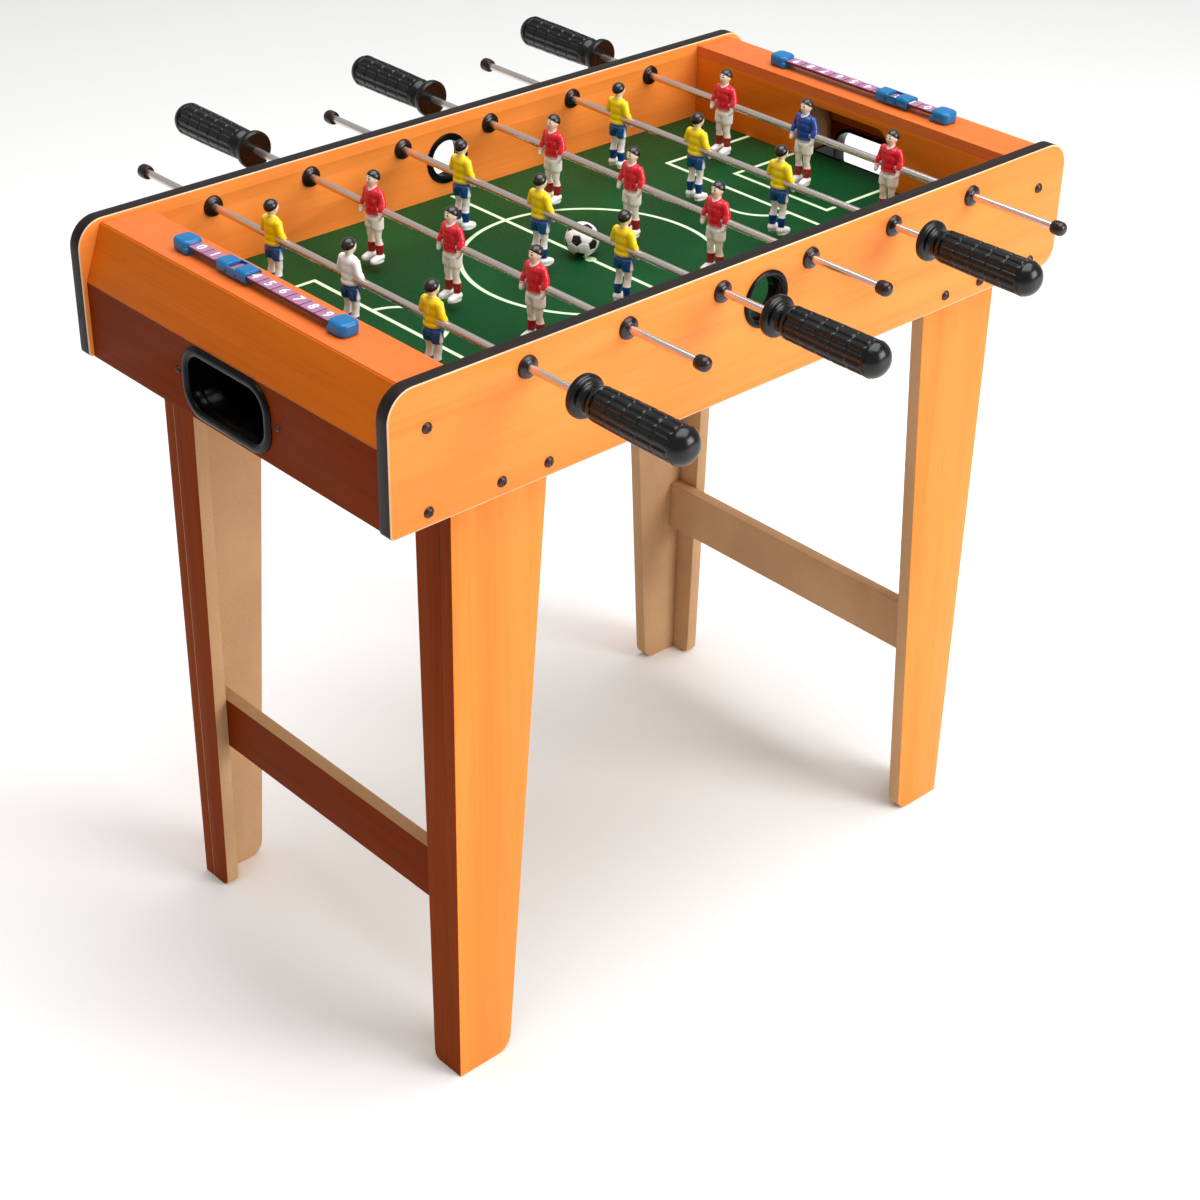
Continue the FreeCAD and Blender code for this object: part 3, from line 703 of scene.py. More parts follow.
def endCovers():
    # one folded board at each end: shelf, sloped face and upright face with the ball mouth
    look = coverLook
    t, crease, seam = look["thick"], look["crease"], look["seam"]
    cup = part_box("ball_cup_right")
    for end, ahead in ends.items():
        node = f"end_cover_{end}"
        low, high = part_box(node)
        innerX, outerX = reachOf(node)
        foldX, foldZ = outerX - look["foldIn"], look["foldLevel"]
        halfWide = (high.y - low.y) / 2
        lean = math.atan2(outerX - foldX, high.z - foldZ)
        tuck = t * math.tan((math.pi / 2 - lean) / 2)
        drop = t * math.tan(lean / 2)
        under, bend = (foldX - tuck, high.z - t), (foldX, high.z, crease)
        shelf = [(innerX, high.z - t), (innerX, high.z), bend, under]
        slope = [under, bend, (outerX, foldZ, crease), (outerX - t, foldZ - drop)]
        parts = []
        for index, points in enumerate((shelf, slope)):
            outline = [Vector((ahead * p.x, p.y)) for p in rounded(points)]
            parts.append(board(outline, "XZ", 0, 2 * halfWide, seam, lambda n, i=index: i))
        centre = (cup[0].z + cup[1].z) / 2
        hole = loopOf(look["mouthHalf"], look["mouthHigh"], look["mouthRound"])
        hole = [p + Vector((0, centre)) for p in hole]
        face = rectangle((-halfWide, low.z), (halfWide, foldZ - seam))
        choose = facing(0, 2, 3)
        parts.append(board(face, "YZ", ahead * (outerX - t / 2), t, look["edge"], choose, [hole]))
        # the slope and the upright face take darker copies of the laminate: painted shade
        looks = ["laminateShelf", "laminateEnd", "shadedLaminateFoot", "rawBoard"]
        piece(f"{node}_board", parts, looks, "table", [node])


goalLook = {"half": 0.050, "high": 0.048, "round": 0.014, "edge": 0.0005}


def innerWalls():
    look = goalLook
    for end in ends:
        node = f"inner_wall_{end}"
        low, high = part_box(node)
        goal, top, r = look["half"], low.z + look["high"], look["round"]
        outline = rounded([
            (low.y, low.z), (-goal, low.z), (-goal, top, r), (goal, top, r),
            (goal, low.z), (high.y, low.z), (high.y, high.z), (low.y, high.z),
        ])
        middle, thick = (low.x + high.x) / 2, high.x - low.x
        mesh = board(outline, "YZ", middle, thick, look["edge"], facing(0, 0, 1))
        piece(f"{node}_board", [mesh], ["laminateWall", "edgeBand"], "table", [node])


cupLook = {
    "corner": 0.022,
    "rimThick": 0.003,
    "roll": 0.0022,
    "rollWide": 0.0036,
    "throat": 0.0078,
    "neck": 0.0066,
    "neckIn": 0.009,
    "neckEnd": 0.013,
    "backRim": 0.0040,
    "wall": 0.002,
    "side": 0.004,
    "bend": 0.014,
    "top": 0.553,
    "lap": 0.0002,
    "edge": 0.0004,
}


def ballCups():
    # a moulded scoop whose rolled rim sits on the end face
    look = cupLook
    roll, wide, side, bend = look["roll"], look["rollWide"], look["side"], look["bend"]
    for end, ahead in ends.items():
        node = f"ball_cup_{end}"
        low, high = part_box(node)
        centre = (low.z + high.z) / 2
        inX, outX = reachOf(node)
        halfY, halfZ = (high.y - low.y) / 2, (high.z - low.z) / 2

        def loop(x, inset):
            around = loopOf(halfY - inset, halfZ - inset, look["corner"] - inset * 0.9, 14)
            return [(ahead * x, p.x, centre + p.y) for p in around]

        def trough(thick):
            # the scoop's sides and floor, as an open run of points
            w, floorZ = halfY - side - thick, low.z + side + thick
            return [(w, look["top"]), (w, floorZ, bend), (-w, floorZ, bend), (-w, look["top"])]

        neckEnd = (outX - look["neckEnd"], look["neck"])
        steps = [(outX - look["rimThick"], 0.0), (outX - roll, 0.0)]
        for n in range(9):
            angle = math.pi * n / 8
            steps.append((outX - roll + roll * math.sin(angle), wide - wide * math.cos(angle)))
        steps += [(outX - look["neckIn"], look["throat"]), neckEnd]
        backX, backRim = outX - look["rimThick"], look["backRim"]
        depth = [(backX, 0.0), (backX, backRim), (neckEnd[0], backRim), neckEnd]
        inside, behind = [surfaceOf([loop(*step) for step in run]) for run in (steps, depth)]
        outer, inner = [
            [[(ahead * x, p.x, p.y) for p in rounded(trough(thick), closed=False)]
             for x in (inX + thick, neckEnd[0] + look["lap"])]
            for thick in (0, look["wall"])
        ]
        shell = surfaceOf([outer[0], outer[1], inner[1], inner[0]],
                          closedAcross=False, closedAlong=True)
        back = ahead * (inX + look["wall"] / 2)
        wall = board(rounded(trough(0)), "YZ", back, look["wall"], look["edge"])
        parts = [inside, behind, shell, wall]
        piece(f"{node}_shell", parts, ["black"], "table", [node], "black_plastic")


timberLook = {
    "thick": {"corner_blocks": 0.018, "goal_cheeks": 0.014},
    "inner": 0.303,
    "outer": 0.332,
    "low": 0.517,
    "slant": 0.568,
    "top": 0.594,
    "topIn": 0.010,
    "edge": 0.0008,
}


def innerBlocks():
    # timber blocks behind each end and the rails that carry the field
    look = timberLook
    a, b = look["inner"], look["outer"]
    outline = [(a, look["low"]), (b, look["low"]), (b, look["slant"]),
               (b - look["topIn"], look["top"]), (a, look["top"])]
    for node, thick in look["thick"].items():
        low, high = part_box(node)
        parts = []
        for ahead in ends.values():
            for sign in sides.values():
                points = [Vector((ahead * x, z)) for x, z in outline]
                middle = sign * (high.y - thick / 2)
                parts.append(board(points, "XZ", middle, thick, look["edge"]))
        piece(f"{node}_wood", parts, ["rawBoard"], "table", [node], "raw_board")
    low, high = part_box("field_rails")
    size = high.z - low.z
    outline = rectangle((low.x, low.z), (high.x, high.z))
    parts = [board(outline, "XZ", sign * (high.y - size / 2), size, look["edge"])
             for sign in sides.values()]
    piece("field_rails_wood", parts, ["rawBoard"], "table", ["field_rails"], "raw_board")


def playField():
    low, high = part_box("playfield")
    outline = rectangle((low.x, low.y), (high.x, high.y))
    middle, thick = (low.z + high.z) / 2, high.z - low.z
    mesh = board(outline, "XY", middle, thick, 0.0003, facing(2, 0, 1, 0.5, 1))
    looks = ["field", "rawBoard"]
    piece("playfield_board", [mesh], looks, "table", ["playfield"], "field_print")


# radii and proud distances of what is set into the long panels, which are 2 * half thick
entryLook = {"half": 0.006, "rim": 0.022, "bore": 0.015, "tube": 0.017}
bushLook = {"half": 0.006, "rim": 0.0085, "bore": 0.00306, "tube": 0.0055}


def setInPanel(side, mesh, xs, level):
    # copies of a turned mesh, its outer end towards the outside of one long panel
    y = middleOf(f"side_panel_{side}").y
    return [(mesh, shift(x, y, level, 90 * (1 + sides[side]))) for x in xs]


def ballEntries():
    # dished ring through each side panel, with a stepped bore
    half, rim, bore, tube = [entryLook[word] for word in ("half", "rim", "bore", "tube")]
    profile = rounded([
        (tube, half), (tube, -half), (rim, -half), (rim, -half - 0.0014, 0.0006),
        (rim - 0.0020, -half - 0.0024, 0.0012), (rim - 0.0034, -half - 0.0018, 0.0008),
        (bore + 0.0012, -half + 0.0026, 0.0012), (bore, -0.001, 0.0010), (bore, half, 0.0005),
        (bore + 0.0020, half + 0.0016, 0.0008), (rim - 0.0010, half + 0.0010, 0.0006),
        (rim - 0.0010, half),
    ], step=8)
    mesh = lathe(profile, 96, closed=True)
    parts = [part for side in sides for part in setInPanel(side, mesh, [0], entryLevel)]
    piece("ball_entry_rings", parts, ["black"], "table", ["ball_entries"], "black_plastic")


def bushings():
    # turned flanged bushing, pressed through the panel
    half, rim, bore, tube = [bushLook[word] for word in ("half", "rim", "bore", "tube")]
    profile = rounded([
        (bore, half + 0.0028, 0.0004), (bore, -half - 0.0035, 0.0005),
        (rim - 0.0040, -half - 0.0035, 0.0008), (rim - 0.0030, -half - 0.0029, 0.0008),
        (rim - 0.0006, -half - 0.0022, 0.0012), (rim, -half), (tube, -half),
        (tube, half), (rim, half), (rim - 0.0006, half + 0.0018, 0.0010),
        (rim - 0.0030, half + 0.0024, 0.0008), (rim - 0.0040, half + 0.0028, 0.0008),
    ], step=8)
    mesh = lathe(profile, 64, closed=True)
    for side in sides:
        node = f"bushings_{side}"
        parts = setInPanel(side, mesh, rodLines, rodLevel)
        piece(f"{node}_turned", parts, ["brown"], "table", [node], "dark_plastic")


sidePanels()
endCovers()
innerWalls()
ballCups()
innerBlocks()
playField()
ballEntries()
bushings()
print("cabinet built")


# rods, handles and caps

gripLook = {
    "bore": 0.00305,
    "start": 0.243,
    "neck": 0.0126,
    "swell": 0.0009,
    "first": 0.0195,
    "last": 0.0905,
    "tail": 0.0135,
    "dome": 0.0112,
    "end": 0.345,
    "ribs": 12,
    "rows": 5,
    "slot": 0.30,
    "notch": 0.07,
    "relief": 0.0011,
    "steps": 168,
    "rings": 112,
}
rodLook = {
    "radius": 0.003,
    "bore": 0.002,
    "nearEnd": 0.303,
    "farEnd": 0.265,
    "inCap": 0.0018,
    "tipRound": 0.0004,
    "capStart": 0.254,
    "capWide": 0.0056,
}


def gripMesh():
    # flange, waist and ribbed grip with a domed end, about -Y from the flange's inner face
    look = gripLook
    start, steps, rings, neck = look["start"], look["steps"], look["rings"], look["neck"]
    profile = rounded([
        (look["bore"], -start), (0.0155, -start, 0.0018), (0.0155, -start - 0.006, 0.0026),
        (0.0096, -start - 0.0075, 0.0030), (0.0094, -start - 0.0125, 0.0030),
        (0.0122, -start - 0.0160, 0.0020), (neck, -start - 0.0190),
    ], closed=False, step=14)
    rows = [turned(*point, steps) for point in profile]
    first, last = start + look["first"], start + look["last"]
    for k in range(rings + 1):
        s = k / rings
        radius = neck + look["swell"] * math.sin(math.pi * 0.5 * min(1, s * 1.3))
        cell = (s * look["rows"]) % 1
        across = ease((0.5 - abs(cell - 0.5)) / look["notch"] - 0.2) if 0 < k < rings else 0
        row = []
        for n in range(steps):
            t = 2 * math.pi * n / steps
            lobe = (t / (2 * math.pi) * look["ribs"]) % 1
            ridge = ease((0.5 - abs(lobe - 0.5)) / look["slot"] - 0.15)
            r = radius - look["relief"] * (1 - ridge * across)
            row.append((r * math.cos(t), -first - (last - first) * s, r * math.sin(t)))
        rows.append(row)
    tail, end = look["tail"], look["end"]
    dome = rounded([(tail - 0.0004, -last - 0.0006), (tail, -last - 0.0022, 0.0012),
                    (tail, -end, look["dome"]), (0.0001, -end)], closed=False, step=22)
    rows += [turned(*point, steps) for point in dome[:-1]]
    return surfaceOf(rows + [[(0, -end, 0)]])


def tubeMesh():
    look = rodLook
    near = -look["nearEnd"]
    far = near + (look["nearEnd"] + look["farEnd"] - look["inCap"])
    radius, bore, tip = look["radius"], look["bore"], look["tipRound"]
    profile = rounded([(bore, near), (radius, near, tip), (radius, far, tip), (bore, far)], step=6)
    return lathe(profile, 40, closed=True)


def capMesh():
    start, end, wide = rodLook["capStart"], rodLook["farEnd"], rodLook["capWide"]
    profile = rounded([
        (gripLook["bore"], start), (0.0050, start, 0.0004), (wide, start + 0.0025, 0.0010),
        (wide, end, 0.0046), (0.0001, end),
    ], closed=False, step=18)
    return lathe(profile[:-1] + [Vector((0, end))], 48)


def rodPieces():
    # word: mesh, finish, slot and the body it rides
    shapes = {
        "rod_tube": (tubeMesh(), "steel", "rod_steel", "rod"),
        "handle": (gripMesh(), "grip", "black_plastic", "rod"),
        "end_cap": (capMesh(), "brown", "dark_plastic", "rod_cap"),
    }
    for word, (mesh, look, slot, body) in shapes.items():
        coat(mesh, [look], 50)
        mesh.name = word
    for n, x in enumerate(rodLines):
        move = shift(x, rodRest(n), rodLevel, 180 * (n % 2))
        for word, (mesh, look, slot, body) in shapes.items():
            node = f"{word}_{n + 1}"
            placed(f"{node}_turned", mesh, move, f"{body}_{n + 1}", [node], slot)


def rodRest(n):
    # how far a rod stands from the middle: its men are spaced evenly about that point
    return middleOf(f"men_{n + 1}").y


rodPieces()
print("rods built")


# men

class Clay:
    # overlapping balls, gathered as points and faces before they are melted together

    def __init__(self):
        unit = bmesh.new()
        bmesh.ops.create_icosphere(unit, subdivisions=3, radius=1)
        self.ball = [v.co.copy() for v in unit.verts]
        self.ballFaces = [[v.index for v in f.verts] for f in unit.faces]
        unit.free()
        self.points = []
        self.faces = []

    def blob(self, centre, radii):
        first = len(self.points)
        for p in self.ball:
            self.points.append([(c + r * a) * mm for c, r, a in zip(centre, radii, p)])
        self.faces += [[first + n for n in face] for face in self.ballFaces]

    def limb(self, points):
        # a chain of balls through (x, y, z, radius)
        for a, b in zip(points, points[1:]):
            length = (Vector(b[:3]) - Vector(a[:3])).length
            steps = max(2, int(length / (0.35 * min(a[3], b[3]))))
            for k in range(steps + 1):
                x, y, z, r = [p + (q - p) * k / steps for p, q in zip(a, b)]
                self.blob((x, y, z), (r, r, r))

    def mesh(self):
        made = bpy.data.meshes.new("man_raw")
        made.from_pydata(self.points, [], self.faces)
        return made


modelLook = {"voxel": 0.55 * mm, "soften": 3, "keep": 0.42}


def manMesh():
    # places and radii in millimetres from the rod's middle; the man faces +X
    clay = Clay()
    clay.blob((0.7, 0, 22.9), (5.0, 4.5, 5.8))      # skull
    clay.blob((1.6, 0, 20.6), (3.7, 3.4, 3.4))      # jaw
    clay.blob((-0.4, 0, 24.0), (5.2, 4.9, 5.0))     # back of the hair
    clay.blob((5.5, 0, 22.3), (0.9, 0.7, 1.1))      # nose
    for s in (-1, 1):
        clay.blob((0.6, s * 4.6, 22.4), (1.0, 0.7, 1.4))   # ear
    clay.limb([(0, 0, 19, 2.7), (-0.2, 0, 14, 3.2)])
    clay.blob((0.2, 0, 11.2), (4.9, 8.4, 5.2))      # shoulders
    clay.blob((0.3, 0, 6.5), (5.3, 7.8, 8.5))       # chest
    clay.blob((0.2, 0, 0.5), (5.4, 7.4, 6.8))       # shirt's lower part
    clay.blob((0, 0, -3.6), (5.7, 7.9, 3.6))        # flared hem
    clay.blob((-0.2, 0, -8.0), (5.2, 7.3, 5.2))     # hips
    for s in (-1, 1):
        # upper arm, forearm, shorts, thigh to knee, shin and foot
        clay.limb([(-0.2, s * 8.0, 12.2, 3.0), (-0.4, s * 10.2, 6.0, 2.9),
                   (1.2, s * 11.0, 1.2, 2.5)])
        clay.limb([(1.6, s * 11.0, 0.2, 2.2), (3.0, s * 11.3, -3.6, 2.1),
                   (4.0, s * 11.0, -5.6, 1.7)])
        clay.limb([(0, s * 3.9, -9, 4.4), (0.2, s * 4.3, -14.6, 4.3)])
        clay.limb([(0.3, s * 4.3, -15, 3.5), (0.8, s * 4.4, -23, 2.8), (0.3, s * 4.5, -25, 2.6)])
        clay.limb([(0.2, s * 4.5, -25.5, 2.7), (-0.5, s * 4.6, -30, 3.1),
                   (-0.2, s * 4.6, -36, 2.4)])
        clay.limb([(-1.6, s * 4.7, -39.4, 3.1), (2.5, s * 4.9, -40.2, 3.3),
                   (6.4, s * 5.3, -41.2, 2.7)])
        clay.blob((2.4, s * 5.0, -42.8), (6.6, 3.3, 1.3))   # sole
    holder = linked("man_raw", clay.mesh())
    remesh = holder.modifiers.new("remesh", "REMESH")
    remesh.mode = "VOXEL"
    remesh.voxel_size = modelLook["voxel"]
    soft = holder.modifiers.new("soft", "SMOOTH")
    soft.factor = 0.5
    soft.iterations = modelLook["soften"]
    mesh = solved(holder)
    raiseTrim(mesh)
    holder.modifiers.clear()
    holder.data = mesh
    thin = holder.modifiers.new("thin", "DECIMATE")
    thin.ratio = modelLook["keep"]
    final = solved(holder)
    bpy.data.objects.remove(holder)
    coat(final, [])
    return final


trimLook = {"soft": 0.0006, "hair": 0.00045, "cloth": 0.00040, "sock": 0.00030}


def raiseTrim(mesh):
    # hair, hems, cuffs and sock tops stand a little proud of what they cover
    look = manLook
    soft = trimLook["soft"]
    normals = [vertex.normal.copy() for vertex in mesh.vertices]
    spots = [vertex.co.copy() for vertex in mesh.vertices]

    def above(z, limit):
        return ramp(z, limit - soft / 2, limit + soft / 2)

    for spot, normal in zip(spots, normals):
        x, y, z = spot
        hair = ramp(z - 0.62 * x + 0.12 * abs(y), 0.0235, 0.0241) * ramp(z, 0.0192, 0.0198)
        sock = ramp(z, -0.0375, -0.0365) * (1 - above(z, look["sockTop"]))
        if abs(y) < look["handOut"]:
            shirt = above(z, look["hem"]) * (1 - ramp(z, 0.0150, 0.0160))
            cloth = shirt + above(z, look["shortsEnd"]) * (1 - ramp(z, -0.008, -0.006))
        else:
            wrist = look["wrist"]
            cloth = ramp(z, wrist - soft, wrist) * (1 - ramp(z, 0.004, 0.006))
        raised = trimLook["hair"] * hair + trimLook["cloth"] * cloth + trimLook["sock"] * sock
        spot += normal * raised
    mesh.vertices.foreach_set("co", [c for spot in spots for c in spot])
    mesh.update()


teamLook = {
    "spacing": 0.092,
    "teams": ("yellow", "red"),
    "keepers": {0: "whiteKeeper", rodCount - 1: "blueKeeper"},
}


def men():
    # three men on each rod; the teams take turns and face each other
    shape = manMesh()
    print("man has", len(shape.polygons), "faces")
    kits = {}
    for kit in kitLooks:
        kits[kit] = shape.copy()
        kits[kit].name = "man_" + kit
        kits[kit].materials.append(finishes[kit])
    for n, x in enumerate(rodLines):
        team = teamLook["teams"][n % 2]
        keeper = teamLook["keepers"].get(n, team)
        for k in (-1, 0, 1):
            kit = team if k else keeper
            move = shift(x, rodRest(n) + teamLook["spacing"] * k, rodLevel, 180 * (n % 2))
            placed(f"man_{n + 1}_{k + 2}", kits[kit], move, f"rod_{n + 1}", [f"men_{n + 1}"],
                   f"men_{team}")


men()
print("men built")


# ball

ballLook = {"seamHalf": 0.00035, "seamDeep": 0.00022, "turn": (28, 52), "cuts": 5}


def football():
    # twelve dark patches and twenty light ones, with sunk seams
    look = ballLook
    low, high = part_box("ball")
    radius = (high.x - low.x) / 2
    bm = bmesh.new()
    bmesh.ops.create_icosphere(bm, subdivisions=1, radius=radius)
    bmesh.ops.bevel(bm, geom=bm.verts[:], offset=33.33, offset_type="PERCENT", segments=1,
                    affect="VERTICES")
    seam = bm.verts.layers.float.new("seam")
    panels = bm.faces[:]
    for face in panels:
        face.material_index = 1 if len(face.verts) == 5 else 0
    onSeam = set(bm.verts)
    bmesh.ops.inset_individual(bm, faces=panels, thickness=look["seamHalf"], use_even_offset=True)
    bmesh.ops.poke(bm, faces=[f for f in bm.faces if len(f.verts) > 4])
    for vertex in bm.verts:
        vertex[seam] = 1 if vertex in onSeam else 0
    bmesh.ops.subdivide_edges(bm, edges=bm.edges[:], cuts=look["cuts"], use_grid_fill=True)
    for vertex in bm.verts:
        vertex.co = vertex.co.normalized() * (radius - look["seamDeep"] * vertex[seam])
    tilt, spin = [math.radians(angle) for angle in look["turn"]]
    turn = Matrix.Rotation(tilt, 4, "X") @ Matrix.Rotation(spin, 4, "Z")
    bmesh.ops.transform(bm, matrix=turn, verts=bm.verts)
    mesh = bpy.data.meshes.new("football")
    bm.to_mesh(mesh)
    bm.free()
    coat(mesh, ["white", "patch"])
    move = Matrix.Translation((low + high) / 2)
    placed("ball_football", mesh, move, "ball", ["ball"], "ball_white")


football()
print("ball built")


# legs

legLook = {
    "thick": 0.012,
    "wide": 0.089,
    "narrow": 0.051,
    "back": 0.040,
    "backLow": 0.032,
    "toe": 0.014,
    "corner": 0.001,
    "edge": 0.0007,
    "stretcherEdge": 0.0008,
}


def legs():
    # each leg is two tapered boards that meet at the table's corner
    look = legLook
    t, toe, edge = look["thick"], look["toe"], look["edge"]
    for side, sign in sides.items():
        for end, ahead in ends.items():
            node = f"leg_{side}_{end}_side"
            low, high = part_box(node)
            corner = max(abs(low.x), abs(high.x))
            points = rounded([
                (corner, low.z, look["corner"]), (corner, high.z),
                (corner - look["wide"], high.z), (corner - look["narrow"], low.z, toe),
            ])
            outline = [Vector((ahead * p.x, p.y)) for p in points]

            # outer face in the leg laminate, end faces in a darker copy that is painted shade, the
            # rest raw board
            def choose(normal):
                if normal.y * sign > 0.6:
                    return 0
                return 2 if normal.x * ahead > 0.9 else 1

            mesh = board(outline, "XZ", (low.y + high.y) / 2, t, edge, choose)
            looks = ["laminateUp", "rawBoard", "shadedLaminateLegEnd"]
            piece(f"{node}_board", [mesh], looks, "table", [node])
            node = f"leg_{side}_{end}_end"
            low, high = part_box(node)
            outer = max(abs(low.y), abs(high.y))
            points = rounded([
                (outer, low.z), (outer, high.z), (outer + t - look["back"], high.z),
                (outer + t - look["backLow"], low.z, toe / 2),
            ])
            outline = [Vector((sign * p.x, p.y)) for p in points]
            # the end board's outward face takes the darker laminate copy: painted shade
            outward = facing(0, 0, 1, way=ahead)
            mesh = board(outline, "YZ", (low.x + high.x) / 2, t, edge, outward)
            piece(f"{node}_board", [mesh], ["shadedLaminateLegEnd", "rawBoard"], "table", [node])
    for end, ahead in ends.items():
        node = f"stretcher_{end}"
        low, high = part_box(node)
        outline = rectangle((low.y, low.z), (high.y, high.z))
        middle, thick = (low.x + high.x) / 2, high.x - low.x
        # the stretcher's outward face takes the darker low end laminate: painted shade
        outward = facing(0, 0, 1, way=ahead)
        mesh = board(outline, "YZ", middle, thick, look["stretcherEdge"], outward)
        piece(f"{node}_board", [mesh], ["shadedLaminateFoot", "rawBoard"], "table", [node])


legs()
print("legs built")


# screws

screwLook = {
    "panel": {"head": 4.2 * mm, "rise": 2.5 * mm, "shank": 2 * mm, "length": 20 * mm},
    "cup": {"head": 2.6 * mm, "rise": 1.7 * mm, "shank": 1.3 * mm, "length": 12 * mm},
    "panelFace": 0.185,
    "panelSpots": ((0.313, 0.587), (0.313, 0.525), (0.250, 0.525), (0.208, 0.525)),
    "cupFace": 0.341,
    "cupSpot": (0.059, 0.546),
    "spins": (37.0, 23.0),
    "arm": 0.55,
    "slot": 0.13,
    "depth": 0.4,
}


def screwMesh(head, rise, shank, length):
    # domed head with a cross recess, on a plain shank with a tapered tip
    arm, slot, depth = screwLook["arm"], screwLook["slot"], screwLook["depth"]
    steps, rings = 48, 14
    rows = [[(0, -rise * (1 - depth), 0)]]
    for k in range(1, rings + 1):
        share = k / rings
        dome = math.sqrt(max(0, 1 - share * share))
        row = []
        for u, v in circle(share, steps):
            cross = max(ramp(slot - abs(a), 0, 0.05) * ramp(arm - abs(b), 0, 0.1)
                        for a, b in ((u, v), (v, u)))
            level = rise * dome * (1 - depth * cross) + rise * 0.12 * (1 - share)
            row.append((head * u, -min(level, rise), head * v))
        rows.append(row)
    for radius, level in ((shank, 0.0002), (shank, length - 2 * mm), (0.0004, length)):
        rows.append(turned(radius, level, steps))
    return surfaceOf(rows, capEnd=True)


def screws():
    look = screwLook
    panelSpin, cupSpin = look["spins"]
    mesh = screwMesh(**look["panel"])
    parts = []
    for sign in sides.values():
        for x, z in look["panelSpots"]:
            for way in (-1, 1):
                spin = Matrix.Rotation(panelSpin * (len(parts) + 1), 4, "Y")
                move = shift(way * x, sign * look["panelFace"], z, 90 * (1 + sign))
                parts.append((mesh, move @ spin))
    piece("panel_screws_domed", parts, ["screw"], "table", ["panel_screws"], "screw_steel", 60)
    mesh = screwMesh(**look["cup"])
    across, z = look["cupSpot"]
    parts = []
    for ahead in ends.values():
        for way in (-1, 1):
            spin = Matrix.Rotation(cupSpin * (len(parts) + 1), 4, "Y")
            move = shift(ahead * look["cupFace"], way * across, z, 90 * ahead)
            parts.append((mesh, move @ spin))
    piece("cup_screws_domed", parts, ["screw"], "table", ["cup_screws"], "screw_steel", 60)


screws()
print("screws built")


# score counters

counterLook = {
    "tiles": 10,
    "gap": 0.0007,
    "tileRise": 0.0005,
    "tileSink": 0.0002,
    "digit": 0.0112,
    "bold": 0.00022,
    "digitThick": 0.00012,
    "digitSink": 0.00004,
    "barEdge": 0.0004,
    "postLine": 0.305,
    "postHalf": (0.0085, 0.009),
    "lipHalf": (0.0085, 0.003),
    "lipHigh": 0.0052,
    "lipOut": 0.0065,
    "play": 0.0004,
    "sleeveTop": 0.0030,
    "sleeveLow": 0.0012,
    "sleeveWall": 0.0062,
    "sleeveEdge": 0.0005,
    "railShort": 0.008,
}


def digitMesh(text, size):
    curve = bpy.data.curves.new("digit", "FONT")
    curve.body = text
    curve.size = size
    curve.align_x = "CENTER"
    curve.align_y = "CENTER"
    curve.extrude = counterLook["digitThick"]
    curve.offset = counterLook["bold"]
    curve.resolution_u = 3
    holder = linked("digit", curve)
    mesh = solved(holder)
    bpy.data.objects.remove(holder)
    for polygon in mesh.polygons:
        polygon.material_index = 2
    return mesh


def counterPosts():
    # a rounded post with a low lip, on the shelf at each end of a counter
    look = counterLook
    low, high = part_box("counter_posts")
    post = block(look["postHalf"], 0, high.z - low.z, 0.0055, 0.0026)
    lip = block(look["lipHalf"], 0, look["lipHigh"], 0.0028, 0.0014)
    parts = []
    for ahead in ends.values():
        x = ahead * look["postLine"]
        for sign in sides.values():
            y = sign * (high.y - look["postHalf"][1])
            parts.append((post, shift(x, y, low.z)))
            parts.append((lip, shift(x, y - sign * look["lipOut"], low.z)))
    piece("counter_posts_moulded", parts, ["blue"], "table", ["counter_posts"], "counter_blue", 40)


def counterBar(end, ahead):
    # numbered tiles on a square bar, read from outside the table
    look = counterLook
    node = f"counter_bar_{end}"
    low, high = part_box(node)
    count, rise, sink = look["tiles"], look["tileRise"], look["tileSink"]
    length = high.y - low.y
    pitch = length / count
    wide, middle = (high.x - low.x) / 2, (low.x + high.x) / 2
    thick = high.z - low.z - rise
    bar = block((wide, length / 2), 0, thick, 0.001, look["barEdge"], 1)
    tile = block((wide - look["barEdge"], pitch / 2 - look["gap"]), 0, rise + sink, 0.001, 0.00025)
    parts = [(bar, shift(middle, 0, low.z))]
    for n in range(count):
        y = (n - count / 2 + 0.5) * pitch
        parts.append((tile, shift(middle, y, low.z + thick - sink)))
        number = n if ahead > 0 else count - 1 - n
        move = shift(middle, y, high.z - look["digitSink"], 90 * ahead)
        parts.append((digitMesh(str(number), look["digit"]), move))
    piece(f"{node}_numbers", parts, ["tile", "bar", "digit"], "table", [node], "counter_bar", 40)


def counterMarker(end):
    # a sleeve around the bar: two walls with a square hole, joined by a rail on each side
    look = counterLook
    barLow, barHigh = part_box(f"counter_bar_{end}")
    node = f"counter_marker_{end}"
    low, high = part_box(node)
    x, y, level = (barLow.x + barHigh.x) / 2, (low.y + high.y) / 2, (barLow.z + barHigh.z) / 2
    w, d = (high.x - low.x) / 2, (high.y - low.y) / 2
    slotW = (barHigh.x - barLow.x) / 2 + look["play"]
    slotH = (barHigh.z - barLow.z) / 2 + look["play"]
    top, foot, edge = look["sleeveTop"], look["sleeveLow"], look["sleeveEdge"]
    outer = rounded([(-w, low.z, foot), (w, low.z, foot), (w, high.z, top), (-w, high.z, top)])
    hole = rectangle((-slotW, level - slotH), (slotW, level + slotH))
    run = d - look["sleeveWall"]
    wall = board(outer, "XZ", 0, 2 * (d - run), edge, holes=[hole])
    parts = [(wall, shift(x, y + sign * run)) for sign in (-1, 1)]
    for sign in (-1, 1):
        rail = rectangle((slotW, low.z + look["play"]), (w, high.z - foot))
        rail = [Vector((sign * p.x, p.y)) for p in rail]
        mesh = board(rail, "XZ", 0, 2 * run - look["railShort"], edge)
        parts.append((mesh, shift(x, y)))
    piece(f"{node}_sleeve", parts, ["blue"], f"marker_{end}", [node], "counter_blue", 40)


def counters():
    counterPosts()
    for end, ahead in ends.items():
        counterBar(end, ahead)
        counterMarker(end)


counters()
print("counters built")


# floor, light and camera

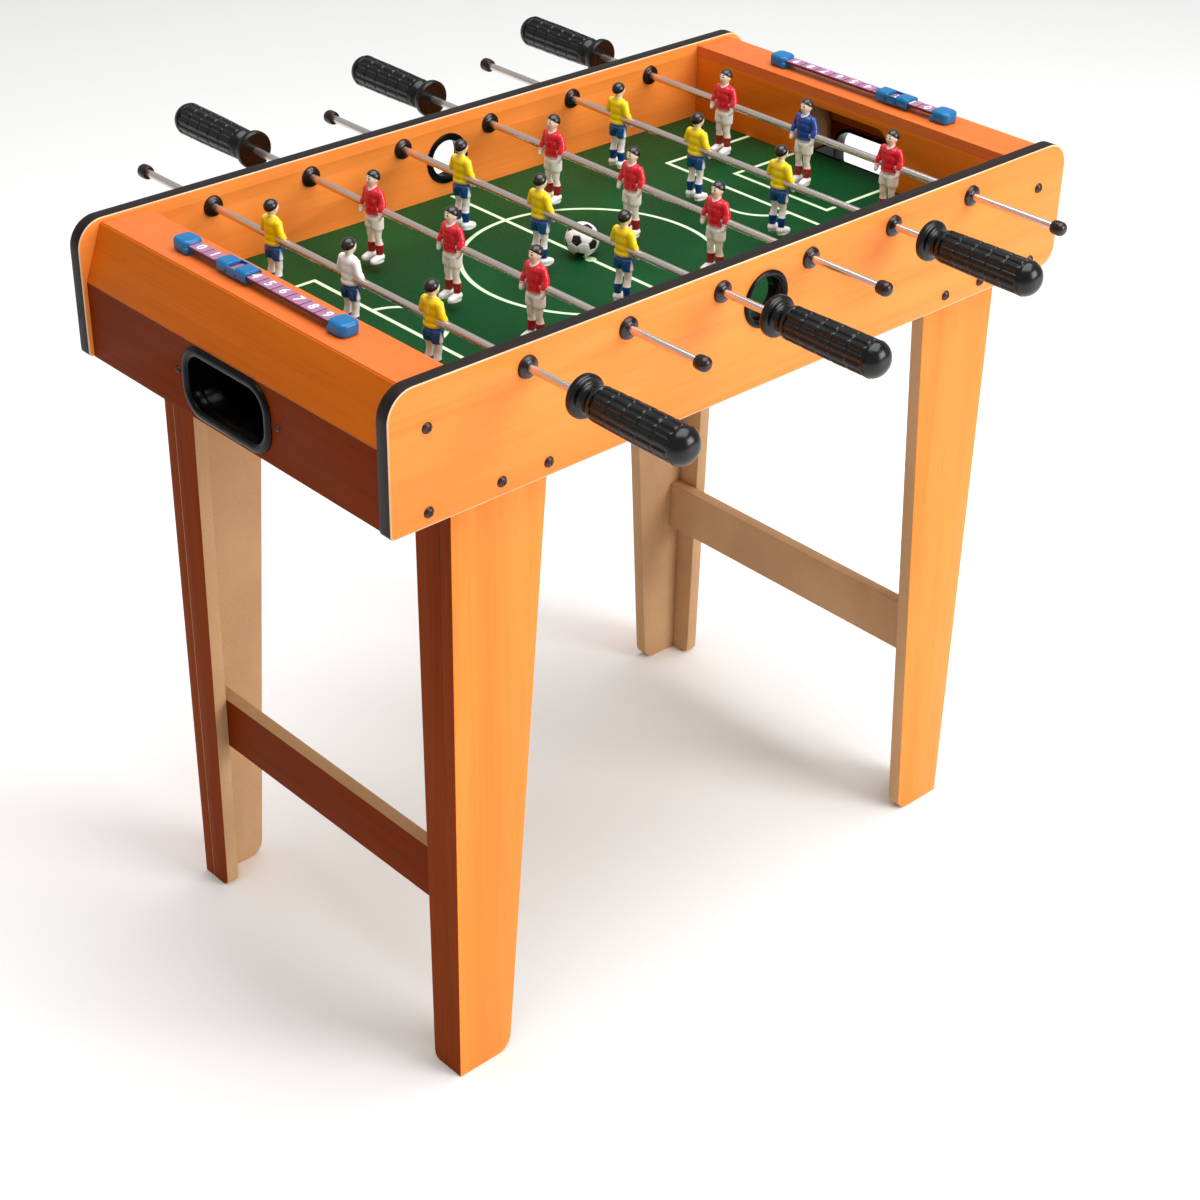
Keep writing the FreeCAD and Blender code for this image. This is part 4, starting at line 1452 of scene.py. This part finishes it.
studio = {
    "floor": "fbfbfa",
    "world": (1.0, 1.0, 1.0, 1),
    "worldPower": 0.42,
    "lights": [
        # place, width, watts and the point each one faces
        ((1.3, -3.1, 1.7), 1.8, 80, (0, -0.1, 0.45)),
        ((0.3, -0.3, 3.2), 2.8, 104, (0, 0, 0.5)),
    ],
    "halfFloor": 30,
}
view = {
    "azimuth": -43.44,
    "elevation": 31.96,
    "roll": 1.23,
    "distance": 2.1,
    "aim": (0.0898, 0.0761, 0.1693),
    "lens": 69.67,
    "sensor": 36,
}


def stageSet():
    f = Finish("floor_paper")
    fleck = f.noise((24, 24, 24), 3)
    colour = f.mix(fleck * 0.3, paint(studio["floor"]), paint("ffffff"))
    paper = f.surface(Base_Color=colour, Roughness=0.9)
    size = studio["halfFloor"]
    rows = [[(-size, y, 0), (size, y, 0)] for y in (-size, size)]
    mesh = surfaceOf(rows, closedAcross=False)
    mesh.materials.append(paper)
    linked("floor", mesh)
    for n, (spot, size, power, aim) in enumerate(studio["lights"]):
        lamp = bpy.data.lights.new(f"soft_{n + 1}", "AREA")
        lamp.size = size
        lamp.energy = power
        holder = linked(f"soft_{n + 1}", lamp)
        holder.location = spot
        holder.rotation_euler = (Vector(spot) - Vector(aim)).to_track_quat("Z", "Y").to_euler()
    world = bpy.data.worlds.new("studio")
    world.use_nodes = True
    sky = world.node_tree.nodes["Background"]
    sky.inputs[0].default_value = studio["world"]
    sky.inputs[1].default_value = studio["worldPower"]
    bpy.context.scene.world = world


def camera():
    a, e, r = [math.radians(view[word]) for word in ("azimuth", "elevation", "roll")]
    back = Vector((math.sin(a) * math.cos(e), -math.cos(a) * math.cos(e), math.sin(e)))
    right = Vector((math.cos(a), math.sin(a), 0))
    up = back.cross(right)
    across = right * math.cos(r) + up * math.sin(r)
    above = up * math.cos(r) - right * math.sin(r)
    lens = bpy.data.cameras.new("camera")
    lens.lens = view["lens"]
    lens.sensor_width = view["sensor"]
    lens.clip_end = 100
    holder = linked("camera", lens)
    turn = Matrix((across, above, back)).transposed().to_4x4()
    holder.matrix_world = Matrix.Translation(Vector(view["aim"]) + back * view["distance"]) @ turn
    bpy.context.scene.camera = holder


stageSet()
camera()
bpy.context.scene.view_settings.view_transform = "Standard"
print("scene ready")
